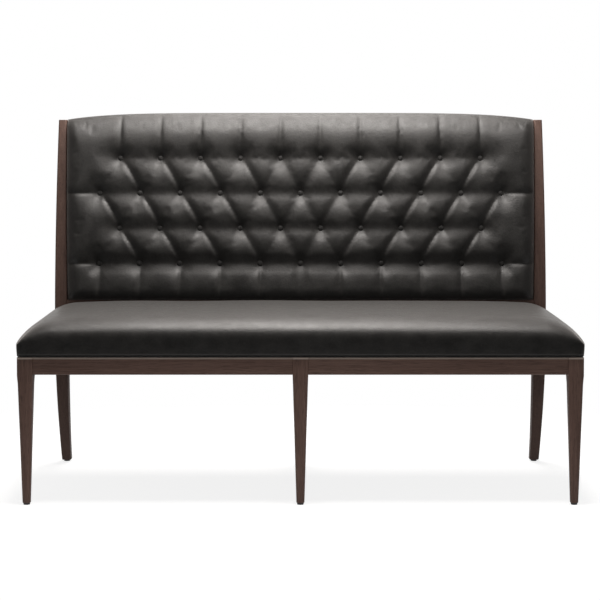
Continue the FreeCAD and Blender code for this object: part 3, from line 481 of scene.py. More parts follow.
def points_of(piece: bpy.types.Object) -> np.ndarray:
    """Read the coordinates of a piece's vertices.

    Args:
        piece: the piece.

    Returns:
        One row for each vertex.
    """
    points = np.zeros(len(piece.data.vertices) * 3)
    piece.data.vertices.foreach_get("co", points)
    return points.reshape(-1, 3)


def move_points(piece: bpy.types.Object, points: np.ndarray) -> None:
    """Give a piece's vertices new coordinates."""
    piece.data.vertices.foreach_set("co", np.ascontiguousarray(points, dtype=float).ravel())
    piece.data.update()


def dress(piece: bpy.types.Object, material: bpy.types.Material, slot: str, *nodes: str) -> None:
    """Give a new piece its finish, its body and the nodes that it stands for.

    Args:
        piece: the finished piece.
        material: its material.
        slot: the record's material slot; not used.
        nodes: the nodes that it replaces.
    """
    piece.data.materials.clear()
    piece.data.materials.append(material)
    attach(piece, BODY)
    if nodes:
        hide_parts(*nodes)
    stands_for = ", ".join(nodes) or "nothing"
    log.info("%s: %d faces, replaces %s", piece.name, len(piece.data.polygons), stands_for)


def paint(node: str, material: bpy.types.Material) -> None:
    """Give a node that stays as it is a better finish.

    Args:
        node: the node's name.
        material: its new material.
    """
    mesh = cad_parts[node].data
    mesh.materials.clear()
    mesh.materials.append(material)
    log.info("%s: painted %s", node, material.name)


def apply_modifiers(piece: bpy.types.Object) -> None:
    """Make the result of a piece's modifiers its own mesh.

    Args:
        piece: the piece, which loses its modifiers.
    """
    depsgraph = bpy.context.evaluated_depsgraph_get()
    mesh = bpy.data.meshes.new_from_object(piece.evaluated_get(depsgraph), depsgraph=depsgraph)
    piece.modifiers.clear()
    old, piece.data = piece.data, mesh
    mesh.name = piece.name
    bpy.data.meshes.remove(old)


@dataclass
class Swelling:
    """Short cloth simulation that fills a cover as its padding does."""

    pressure: float = 2.0
    frames: int = 20
    cap: float = 5 * MM
    stiffness: float = 8.0
    bending: float = 4.0
    slack: float = 0.006
    quality: int = 4
    least: float = 1e-9

    def run(self, piece: bpy.types.Object, held: np.ndarray) -> None:
        """Swell a piece and keep the result in its mesh.

        Args:
            piece: the cover, before its subdivision.
            held: share, for each vertex, by which it is held in place.
        """
        group = piece.vertex_groups.new(name="held")
        for share in np.unique(np.round(held, 2)):
            chosen = np.nonzero(np.isclose(np.round(held, 2), share))[0]
            group.add(chosen.tolist(), float(share), "REPLACE")
        cloth = piece.modifiers.new("swelling", "CLOTH")
        settings = cloth.settings
        settings.vertex_group_mass = group.name
        settings.use_pressure = True
        settings.uniform_pressure_force = self.pressure
        settings.effector_weights.gravity = 0.0
        settings.tension_stiffness = self.stiffness
        settings.compression_stiffness = self.stiffness
        settings.bending_stiffness = self.bending
        settings.shrink_min = -self.slack
        settings.quality = self.quality
        cloth.collision_settings.use_collision = False
        scene = bpy.context.scene
        cloth.point_cache.frame_end = self.frames
        before = points_of(piece)
        for number in range(1, self.frames + 1):
            scene.frame_set(number)
        apply_modifiers(piece)
        moved = points_of(piece) - before
        distance = np.linalg.norm(moved, axis=1, keepdims=True)
        scale = self.cap * np.tanh(distance / self.cap) / np.maximum(distance, self.least)
        move_points(piece, before + moved * scale)
        scene.frame_set(1)
        piece.vertex_groups.clear()
        log.info("%s: swelled by up to %.1f mm", piece.name, float((distance * scale).max()) / MM)


def subdivided(piece: bpy.types.Object) -> None:
    """Subdivide a piece once and keep the result.

    Args:
        piece: the piece.
    """
    modifier = piece.modifiers.new("subdivision", "SUBSURF")
    modifier.levels = modifier.render_levels = 1
    apply_modifiers(piece)
    for polygon in piece.data.polygons:
        polygon.use_smooth = True


@dataclass
class BackLine:
    """Curve of the back: upright at the seat, bent backwards above it."""

    start: float = 0.420
    top: float = 1.045
    front: float = 0.202
    radius: float = 2.5588

    def depth(self, level: np.ndarray | float) -> np.ndarray:
        """Depth of the posts' front face at a height."""
        rise = np.clip(np.asarray(level, dtype=float), self.start, self.top) - self.start
        return self.front + self.radius - np.sqrt(self.radius ** 2 - rise ** 2)

    def lean(self, level: float) -> float:
        """Angle of the back from upright at a height."""
        rise = min(max(level, self.start), self.top) - self.start
        return math.asin(rise / self.radius)


# Fewest grid lines over a rounding, and its length as a share of its run and depth together
LEAST_ROLL = 4
ROLL_LENGTH = 0.8


def roll_steps(length: float, first_roll: float, last_roll: float, spacing: float,
               first_depth: float, last_depth: float) -> tuple[np.ndarray, np.ndarray]:
    """Grid lines over a face whose two edges are rounded, evenly spaced along the surface.

    Args:
        length: length of the face between its edges.
        first_roll: run of the rounding at the first edge.
        last_roll: run of the rounding at the last edge.
        spacing: distance between lines.
        first_depth: depth of the first rounding.
        last_depth: depth of the last rounding.

    Returns:
        Positions from the first edge, and the share of the rounding at each, signed, one at the edges.
    """
    first_count = max(LEAST_ROLL, round((first_roll + first_depth) * ROLL_LENGTH / spacing))
    last_count = max(LEAST_ROLL, round((last_roll + last_depth) * ROLL_LENGTH / spacing))
    flat_count = max(2, round((length - first_roll - last_roll) / spacing))
    first = np.cos(np.linspace(0, math.pi / 2, first_count + 1))
    last = np.cos(np.linspace(math.pi / 2, 0, last_count + 1))
    flat = np.linspace(first_roll, length - last_roll, flat_count + 1)
    places = np.concatenate([first_roll * (1 - first), flat[1:-1], length - last_roll * (1 - last)])
    shares = np.concatenate([-first, np.zeros(flat_count - 1), last])
    return places, shares


def grid_cover(name: str, columns: int, rows: int) -> tuple[bpy.types.Object, np.ndarray, np.ndarray]:
    """Flat grid for a cover.

    Args:
        name: the object's name.
        columns: grid lines across.
        rows: grid lines up.

    Returns:
        The object, and the column and the row of each vertex.
    """
    shape = bmesh.new()
    bmesh.ops.create_grid(shape, x_segments=columns - 1, y_segments=rows - 1, size=1.0)
    piece = to_object(shape, name)
    points = points_of(piece)
    column = np.rint((points[:, 0] + 1) / 2 * (columns - 1)).astype(int)
    row = np.rint((points[:, 1] + 1) / 2 * (rows - 1)).astype(int)
    return piece, column, row


def unevenness(x: np.ndarray, z: np.ndarray, size: float, seed: int, count: int = 7) -> np.ndarray:
    """Add up soft seeded waves in all directions.

    Args:
        x: places across.
        z: places up.
        size: about the length of a wave.
        seed: seed of the waves.
        count: number of waves.

    Returns:
        Height of the waves at each place, mostly between -1 and 1.
    """
    dice = np.random.default_rng(seed)
    waves = np.zeros_like(x)
    for turn, phase, stretch in zip(dice.uniform(0, math.tau, count), dice.uniform(0, math.tau, count),
                                    dice.uniform(0.6, 1.6, count)):
        waves += np.sin((x * math.cos(turn) + z * math.sin(turn)) * math.tau / (size * stretch) + phase)
    return waves / math.sqrt(count)


@dataclass(frozen=True)
class PleatStyle:
    """Kind of pleat: its depth at either end, its crispness, and the runs of its open and its lapped side."""

    first: float
    last: float
    crisp: float
    width: float = 36 * MM
    lip: float = 15 * MM
    easing: float = 9 * MM


@dataclass(frozen=True)
class Fold:
    """Pleat of the tufting: its ends, its kind, the side that laps over and how far it bows."""

    start: tuple[float, float]
    end: tuple[float, float]
    style: PleatStyle
    lap: int = 1
    bow: float = 0.0

    def crease(self, x: np.ndarray, z: np.ndarray) -> np.ndarray:
        """Work out the depth of the pleat.

        Args:
            x: places across.
            z: places up.

        Returns:
            The depth at each place, as a share of the deepest.
        """
        style = self.style
        run_x, run_z = self.end[0] - self.start[0], self.end[1] - self.start[1]
        length = math.hypot(run_x, run_z)
        away_x, away_z = x - self.start[0], z - self.start[1]
        free = (away_x * run_x + away_z * run_z) / length ** 2
        along = np.clip(free, 0, 1)
        aside = (away_z * run_x - away_x * run_z) / length * self.lap
        aside = aside + self.bow * 4 * along * (1 - along)
        past = np.abs(free - along) * length
        gap = np.hypot(aside, past)
        eased = np.sqrt(gap ** 2 + style.easing ** 2) - style.easing
        soft = np.clip(1 - eased / style.width, 0, 1) ** 2
        tight = 1 - np.sqrt(1 - (1 - np.clip(gap / style.lip, 0, 1)) ** 2)
        lapped = np.where(aside > 0, tight, np.clip(1 - gap / style.width, 0, 1) ** 2)
        depth = style.first + (style.last - style.first) * along
        return depth * (soft * (1 - style.crisp) + lapped * style.crisp)


@dataclass
class TuftedBack:
    """Inside back: a padded cover with diamond tufts, its covered buttons and the outside panel."""

    line: BackLine
    leather: bpy.types.Material
    button_leather: bpy.types.Material
    pad_bottom: float = 0.5036
    pad_top: float = 1.066
    half_bottom: float = 0.7016
    half_top: float = 0.7116
    crest: float = 31 * MM
    button_seat: float = 3 * MM
    rear: float = 25.9 * MM
    side_roll: tuple[float, float] = (46 * MM, 44 * MM)
    top_roll: tuple[float, float] = (98 * MM, 47 * MM)
    bottom_roll: tuple[float, float] = (40 * MM, 28 * MM)
    roll_power: float = 2.2
    top_fall: float = 20 * MM
    pitch: float = 121 * MM
    first_row: float = 0.613
    row_pitch: float = 105 * MM
    row_counts: tuple[int, ...] = (11, 10, 11, 10)
    dip: float = 35 * MM
    dip_power: float = 1.25
    fullness: float = 1.2
    merge: float = 3.0
    pleat_share: float = 0.34
    row_shares: tuple[float, ...] = (1.0, 0.55, 0.55, 0.38)
    row_crisp: float = 0.10
    row_sides: tuple[float, float] = (44 * MM, 30 * MM)
    slant: float = 0.50
    slant_outward: float = 0.50
    slant_inward: float = -0.28
    slant_reach: float = 0.20
    bottom_reach: float = 0.10
    top_style: PleatStyle = PleatStyle(0.75, 0.15, 0.7, 14 * MM, 10 * MM)
    end_style: PleatStyle = PleatStyle(0.90, 0.45, 1.0, 30 * MM, 34 * MM)
    bottom_depths: tuple[float, float] = (0.90, 0.35)
    outer_columns: float = 4.9
    pleat_overrun: float = 0.1
    bow: float = 6 * MM
    spacing: float = 5.0 * MM
    side_power: float = 4.0
    edge_power: float = 3.0
    edge_loss: float = 0.70
    wave_height: float = 0.035
    wave_size: float = 0.22
    wave_seed: int = 3
    fall_power: float = 5.5
    lift_power: float = 1.5
    rear_gap: float = 2 * MM
    crease_hold: tuple[float, float] = (1.5, 0.3)
    button_hold: tuple[float, float] = (20 * MM, 8 * MM)
    side_hold: tuple[float, float] = (34 * MM, 26 * MM)
    top_hold: tuple[float, float] = (45 * MM, 35 * MM)
    bottom_hold: tuple[float, float] = (32 * MM, 24 * MM)
    rear_angle: float = 60.0
    button_radius: float = 10.5 * MM
    button_height: float = 7 * MM
    button_lift: float = 1 * MM
    button_rings: tuple[int, int] = (20, 10)
    panel_roll: tuple[float, float] = (8 * MM, 4 * MM)
    panel_spacing: float = 12 * MM
    panel_thickness: float = 2 * MM
    panel_wave: float = 0.5 * MM
    panel_wave_size: float = 0.35
    panel_seed: int = 8
    panel_offset: float = 0.6 * MM
    panel_lining: float = 0.5 * MM

    def rows(self) -> list[float]:
        """Heights of the rows of buttons."""
        return [self.first_row + self.row_pitch * number for number in range(len(self.row_counts))]

    def buttons(self) -> np.ndarray:
        """Work out the places of the buttons.

        Returns:
            Places across and up, row by row from the bottom.
        """
        spots = []
        for height, count in zip(self.rows(), self.row_counts):
            spots += [((number - (count - 1) / 2) * self.pitch, height) for number in range(count)]
        return np.array(spots)

    def has_button(self, x: float, z: float) -> bool:
        """Tell whether a place has a button."""
        return bool((np.abs(self.buttons() - (x, z)).max(axis=1) < MM).any())

    def half_width(self, level: np.ndarray) -> np.ndarray:
        """Half of the pad's width at a height, between the flared posts."""
        share = np.clip((level - self.pad_bottom) / (self.line.top - self.pad_bottom), 0, 1)
        return self.half_bottom + (self.half_top - self.half_bottom) * share

    def slants(self, x: float, z: float) -> list[Fold]:
        """Lay the slanted pleats from a button up to the next row: those that lean outward lap over.

        Args:
            x: the button's place across.
            z: its height.

        Returns:
            Up to two pleats.
        """
        folds = []
        for step in (-1, 1):
            far = (x + step * self.pitch / 2, z + self.row_pitch)
            if self.has_button(*far):
                middle = x + step * self.pitch / 4
                outward = min(1.0, abs(middle) / self.slant_reach)
                leans_out = step * middle > 0
                laps = outward if leans_out else 0.0
                depth = self.slant + (self.slant_outward if leans_out else self.slant_inward) * outward
                folds.append(Fold((x, z), far, PleatStyle(depth, depth, laps), -step, self.bow * laps))
        return folds

    def pleats(self) -> list[Fold]:
        """Lay all pleats: between the buttons, and outwards from the outer ones to the edges.

        Returns:
            The pleats, button by button.
        """
        folds, rows = [], self.rows()
        top, bottom = self.pad_top + self.pleat_overrun, self.pad_bottom - self.pleat_overrun
        for x, z in self.buttons():
            side = 1 if x > MM else -1
            folds += self.slants(x, z)
            if self.has_button(x + self.pitch, z):
                share = self.row_shares[rows.index(z)]
                style = PleatStyle(share, share, self.row_crisp, *self.row_sides)
                folds.append(Fold((x, z), (x + self.pitch, z), style, -1))
            if z > rows[-1] - MM:
                folds.append(Fold((x, z), (x, top), self.top_style, -side))
            if z < rows[0] + MM:
                style = PleatStyle(*self.bottom_depths, min(1.0, abs(x) / self.bottom_reach))
                folds.append(Fold((x, z), (x, bottom), style, side))
            if abs(x) > self.pitch * self.outer_columns:
                edge = math.copysign(self.half_top + self.pleat_overrun, x)
                folds.append(Fold((x, z), (edge, z), self.end_style, -side))
        return folds

    def relief(self, x: np.ndarray, z: np.ndarray) -> np.ndarray:
        """Work out the height of the tufts over the button seats.

        Args:
            x: places across.
            z: places up.

        Returns:
            The height at each place, as a share of the full one.
        """
        height = np.ones_like(x)
        for spot_x, spot_z in self.buttons():
            height *= 1 - np.exp(-(np.hypot(x - spot_x, z - spot_z) / self.dip) ** self.dip_power)
        middle = (1 - math.exp(-(self.pitch / math.sqrt(3) / self.dip) ** self.dip_power)) ** 3
        pull = np.tanh(height / middle / self.fullness) / math.tanh(1 / self.fullness)
        crease = sum(fold.crease(x, z) ** self.merge for fold in self.pleats()) ** (1 / self.merge)
        return pull * (1 - self.pleat_share * np.minimum(crease, 1.0))

    def rolled(self, share: np.ndarray) -> np.ndarray:
        """Set-back of a rounded edge: it starts gently and ends square to the face."""
        return 1 - np.sqrt(1 - np.minimum(share, 1) ** self.roll_power)

    def make_pad(self) -> bpy.types.Object:
        """Model the padded cover as a sheet: rounded edges and tufts.

        Returns:
            The cover, open at the rear.
        """
        width = 2 * self.half_bottom
        across, side = roll_steps(width, self.side_roll[0], self.side_roll[0], self.spacing,
                                  self.side_roll[1], self.side_roll[1])
        upward, edge = roll_steps(self.pad_top - self.pad_bottom, self.bottom_roll[0], self.top_roll[0],
                                  self.spacing, self.bottom_roll[1], self.top_roll[1])
        piece, column, row = grid_cover("back_pad", len(across), len(upward))
        flat_x, z = across[column] - self.half_bottom, self.pad_bottom + upward[row]
        side_share, edge_share = np.abs(side[column]), edge[row]
        x = flat_x * self.half_width(z) / self.half_bottom
        side_back = self.side_roll[1] * self.rolled(side_share)
        edge_depth = np.where(edge_share > 0, self.top_roll[1], self.bottom_roll[1])
        edge_back = edge_depth * self.rolled(np.abs(edge_share))
        set_back = np.hypot(side_back, edge_back)
        edge_fade = 1 - self.edge_loss * np.abs(edge_share) ** self.edge_power
        fade = (1 - side_share ** self.side_power) * edge_fade
        relief = self.relief(x, z)
        waves = self.wave_height * unevenness(x, z, self.wave_size, self.wave_seed)
        lost = 1 - relief + waves * relief
        depth = self.crest - (self.crest - self.button_seat) * lost * fade
        fall = self.top_fall * (np.abs(x) / self.half_top) ** self.fall_power
        lift = np.clip((z - self.rows()[-1]) / (self.pad_top - self.rows()[-1]), 0, 1)
        level = z - fall * lift ** self.lift_power
        y = self.line.depth(level) - depth + set_back
        y = np.minimum(y, self.line.depth(level) + self.rear - self.rear_gap)
        move_points(piece, np.stack([x, y, level], axis=1))
        return piece

    def held(self, piece: bpy.types.Object) -> np.ndarray:
        """Work out how firmly the buttons, the pleats and the border hold the cover.

        Args:
            piece: the cover.

        Returns:
            The share by which each vertex is held.
        """
        points = points_of(piece)
        x, z = points[:, 0], points[:, 2]
        crease = np.max([fold.crease(x, z) for fold in self.pleats()], axis=0)
        gap = np.min([np.hypot(x - spot_x, z - spot_z) for spot_x, spot_z in self.buttons()], axis=0)
        distances = ((gap, self.button_hold), (self.half_width(z) - np.abs(x), self.side_hold),
                     (self.pad_top - z, self.top_hold), (z - self.pad_bottom, self.bottom_hold))
        holds = [(reach - distance) / run for distance, (reach, run) in distances]
        gain, start = self.crease_hold
        return np.clip(np.maximum.reduce([crease * gain - start, *holds]), 0, 1)

    def close_pad(self, piece: bpy.types.Object) -> None:
        """Carry the cover's edge back to the frame and close the rear.

        Args:
            piece: the cover.
        """
        shape = opened(piece)
        for vertex in new_vertices(bmesh.ops.extrude_edge_only(shape, edges=rim_of(shape))):
            vertex.co.y = float(self.line.depth(vertex.co.z)) + self.rear
        upright = []
        for edge in rim_of(shape):
            run = edge.verts[0].co - edge.verts[1].co
            if abs(run.z) > abs(run.x):
                upright.append(edge)
        upright.sort(key=lambda edge: edge.verts[0].co.z + edge.verts[1].co.z)
        left = [edge for edge in upright if edge.verts[0].co.x < 0]
        right = [edge for edge in upright if edge.verts[0].co.x > 0]
        bmesh.ops.bridge_loops(shape, edges=left[1:] + right[1:])
        bmesh.ops.holes_fill(shape, edges=rim_of(shape), sides=0)
        closed(shape, piece)
        piece.data.set_sharp_from_angle(angle=math.radians(self.rear_angle))

    def make_buttons(self) -> bpy.types.Object:
        """Model the covered buttons, all in one piece.

        Returns:
            The buttons.
        """
        shape = bmesh.new()
        around, upward = self.button_rings
        for x, z in self.buttons():
            lean = self.line.lean(z)
            seat = Vector((x, float(self.line.depth(z)) - self.button_seat - self.button_lift, z))
            turn = Matrix.Rotation(math.pi / 2 - lean, 4, "X")
            size = Matrix.Diagonal((self.button_radius, self.button_radius, self.button_height, 1.0))
            bmesh.ops.create_uvsphere(shape, u_segments=around, v_segments=upward, radius=1.0,
                                      matrix=Matrix.Translation(seat) @ turn @ size)
        return to_object(shape, "covered_buttons")

    def make_outside(self) -> bpy.types.Object:
        """Model the leather panel on the rear, slightly crowned, with a turned edge.

        Returns:
            The panel.
        """
        low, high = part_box("outside_back")
        roll, drop = self.panel_roll
        across, side = roll_steps(high.x - low.x, roll, roll, self.panel_spacing, drop, drop)
        upward, edge = roll_steps(high.z - low.z, roll, roll, self.panel_spacing, drop, drop)
        piece, column, row = grid_cover("outside_panel", len(across), len(upward))
        x, z = low.x + across[column], low.z + upward[row]
        share = np.maximum(np.abs(side[column]), np.abs(edge[row]))
        crown = np.sqrt(1 - np.minimum(share, 1) ** 2)
        waves = self.panel_wave * unevenness(x, z, self.panel_wave_size, self.panel_seed)
        thickness = self.panel_thickness + waves * crown
        y = self.line.depth(z) + self.rear + self.panel_offset + thickness * crown
        move_points(piece, np.stack([x, y, z], axis=1))
        shape = opened(piece)
        inner = new_vertices(bmesh.ops.extrude_face_region(shape, geom=shape.faces[:]))
        bmesh.ops.translate(shape, verts=inner, vec=(0.0, -self.panel_lining, 0.0))
        closed(shape, piece)
        return piece

    def build(self) -> None:
        """Build and dress the back."""
        pad = self.make_pad()
        Swelling().run(pad, self.held(pad))
        subdivided(pad)
        self.close_pad(pad)
        dress(pad, self.leather, "leather", "back_cover", "back_foam")
        dress(self.make_buttons(), self.button_leather, "leather", "tuft_buttons")
        dress(self.make_outside(), self.leather, "leather", "outside_back")


@dataclass
class Seat:
    """Seat cushion: crowned, rolled over at the front and the ends, drawn in where it meets the rails."""

    leather: bpy.types.Material
    cloth: bpy.types.Material
    half: float = 0.767
    front: float = -0.3075
    rear: float = 0.2015
    bottom: float = 0.4040
    belly: float = 0.436
    crown: float = 64 * MM
    end_roll: float = 107 * MM
    front_roll: float = 172 * MM
    rear_roll: float = 40 * MM
    swell: float = 6 * MM
    end_power: float = 0.64
    front_power: float = 3.2
    corner: float = 16.0
    least: float = 1e-6
    middle_power: int = 4
    wave_height: float = 0.8 * MM
    wave_size: float = 0.40
    wave_seed: int = 5
    spacing: float = 9 * MM
    skirt: tuple[tuple[float, float], ...] = (
        (-0.35, 0.3 * MM), (-0.70, 1.0 * MM), (-0.99, 2.0 * MM), (-1.0, 2.6 * MM), (-1.0, 14.0 * MM))
    squareness: int = 9
    digits: int = 7
    flap_steps: tuple[int, int] = (60, 4)
    flap_lap: float = 6 * MM
    flap_room: float = 1 * MM
    flap_lift: float = 1.1 * MM
    flap_sag: float = 0.6 * MM
    flap_thickness: float = 0.6 * MM

    def make(self) -> bpy.types.Object:
        """Model the cushion's upper side as a sheet, rounded at its edges.

        Returns:
            The cushion, open below its widest line.
        """
        across, side = roll_steps(2 * self.half, self.end_roll, self.end_roll, self.spacing,
                                  self.crown, self.crown)
        deep, edge = roll_steps(self.rear - self.front, self.front_roll, self.rear_roll, self.spacing,
                                self.crown, self.crown)
        piece, column, row = grid_cover("seat_cushion", len(across), len(deep))
        end_share, edge_share = side[column], edge[row]
        largest = np.maximum(np.abs(end_share), np.abs(edge_share))
        joined = (np.abs(end_share) ** self.corner + np.abs(edge_share) ** self.corner) ** (1 / self.corner)
        squeeze = np.where(joined > self.least, largest / np.maximum(joined, self.least), 1.0)
        flat_x, flat_y = across[column] - self.half, self.front + deep[row]
        roll = np.where(edge_share < 0, self.front_roll, self.rear_roll)
        x = flat_x - end_share * (1 - squeeze) * self.end_roll
        y = flat_y - edge_share * (1 - squeeze) * roll
        over_end = (1 - np.minimum(np.abs(end_share), 1) ** 2) ** self.end_power
        front_share = np.where(edge_share < 0, np.abs(edge_share), 0)
        over_front = (1 - np.minimum(front_share, 1) ** self.front_power) ** (1 / self.front_power)
        over_rear = np.sqrt(1 - np.where(edge_share > 0, np.minimum(edge_share, 1), 0) ** 2)
        rise = over_end * over_front * over_rear
        middle = np.clip(1 - (x / (self.half - self.end_roll)) ** self.middle_power, 0, 1)
        waves = self.wave_height * unevenness(x, y, self.wave_size, self.wave_seed)
        z = self.belly + (self.crown + self.swell * middle + waves) * rise
        move_points(piece, np.stack([x, y, z], axis=1))
        return piece

    def close(self, piece: bpy.types.Object) -> None:
        """Draw the sides in to the lower edge and close the underside over the board.

        Args:
            piece: the cushion.
        """
        shape = opened(piece)
        middle, half_depth = (self.front + self.rear) / 2, (self.rear - self.front) / 2
        height = self.belly - self.bottom
        homes = {}
        for fall, inward in self.skirt:
            for vertex in new_vertices(bmesh.ops.extrude_edge_only(shape, edges=rim_of(shape))):
                home = homes.pop(self.key(vertex), vertex.co.copy())
                out = Vector(((home.x / self.half) ** self.squareness,
                              ((home.y - middle) / half_depth) ** self.squareness, 0.0))
                out.normalize()
                vertex.co = home - out * inward
                vertex.co.z = self.belly + fall * height
                homes[self.key(vertex)] = home
        bmesh.ops.holes_fill(shape, edges=rim_of(shape), sides=0)
        closed(shape, piece)

    def key(self, vertex: bmesh.types.BMVert) -> tuple[float, float]:
        """Name a vertex by its place in plan."""
        return round(vertex.co.x, self.digits), round(vertex.co.y, self.digits)

    def make_flap(self) -> bpy.types.Object:
        """Model the dark cloth flap that closes the slot between the seat's rear edge and the rear rail.

        Returns:
            The flap.
        """
        low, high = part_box("rear_rail_left")[0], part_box("rear_rail_right")[1]
        shape = bmesh.new()
        columns, rows = self.flap_steps
        bmesh.ops.create_grid(shape, x_segments=columns, y_segments=rows, size=1.0)
        near, far = self.rear - self.flap_lap, low.y + self.flap_lap
        half = high.x - self.flap_room
        for vertex in shape.verts:
            deep = (vertex.co.y + 1) / 2
            sag = self.flap_sag * math.sin(math.pi * deep)
            vertex.co = (vertex.co.x * half, near + (far - near) * deep, high.z + self.flap_lift - sag)
        upper = new_vertices(bmesh.ops.extrude_face_region(shape, geom=shape.faces[:]))
        bmesh.ops.translate(shape, verts=upper, vec=(0.0, 0.0, self.flap_thickness))
        bmesh.ops.recalc_face_normals(shape, faces=shape.faces)
        return to_object(shape, "seat_rear_flap")

    def build(self) -> None:
        """Build and dress the seat."""
        cushion = self.make()
        subdivided(cushion)
        self.close(cushion)
        dress(cushion, self.leather, "leather", "seat_cover", "seat_foam")
        dress(self.make_flap(), self.cloth, "lining")


@dataclass
class Section:
    """Level of an upright timber: its height, its faces and its corner radius."""

    level: float
    left: float
    right: float
    front: float
    rear: float
    radius: float


# Corner radius of the unit block that a timber is made from, and what tells its edges and ends
UNIT_CORNER = 0.25
SAME_PLACE = 1e-6
CAP_TILT = 0.9
SHARP_ANGLE = 50.0


def timber(name: str, sections: list[Section], edge: float) -> bpy.types.Object:
    """Model an upright timber through its sections.

    Args:
        name: the object's name.
        sections: levels from the bottom up.
        edge: rounding of the two ends.

    Returns:
        The timber.
    """
    shape = bmesh.new()
    bmesh.ops.create_cube(shape, size=2.0)
    uprights = [item for item in shape.edges if abs(item.verts[0].co.z - item.verts[1].co.z) > 1.0]
    bmesh.ops.subdivide_edges(shape, edges=uprights, cuts=len(sections) - 2, use_grid_fill=True)
    corners = [item for item in shape.edges
               if (item.verts[0].co.xy - item.verts[1].co.xy).length < SAME_PLACE]
    bmesh.ops.bevel(shape, geom=corners, offset=UNIT_CORNER, offset_type="OFFSET", segments=5, profile=0.5,
                    affect="EDGES", material=-1)
    for vertex in shape.verts:
        place = vertex.co
        section = sections[round((place.z + 1) / 2 * (len(sections) - 1))]
        half = Vector((section.right - section.left, section.rear - section.front)) / 2
        shrink = section.radius / UNIT_CORNER
        x = math.copysign(half.x - (1 - abs(place.x)) * shrink, place.x)
        y = math.copysign(half.y - (1 - abs(place.y)) * shrink, place.y)
        centre = Vector((section.left + section.right, section.front + section.rear)) / 2
        vertex.co = (centre.x + x, centre.y + y, section.level)
    shape.faces.ensure_lookup_table()
    caps = [face for face in shape.faces if abs(face.normal.z) > CAP_TILT and len(face.verts) > 4]
    rims = list({item for face in caps for item in face.edges})
    bmesh.ops.bevel(shape, geom=rims, offset=edge, offset_type="OFFSET", segments=3, profile=0.5,
                    affect="EDGES", material=-1)
    bmesh.ops.recalc_face_normals(shape, faces=shape.faces)
    piece = to_object(shape, name)
    piece.data.set_sharp_from_angle(angle=math.radians(SHARP_ANGLE))
    return piece


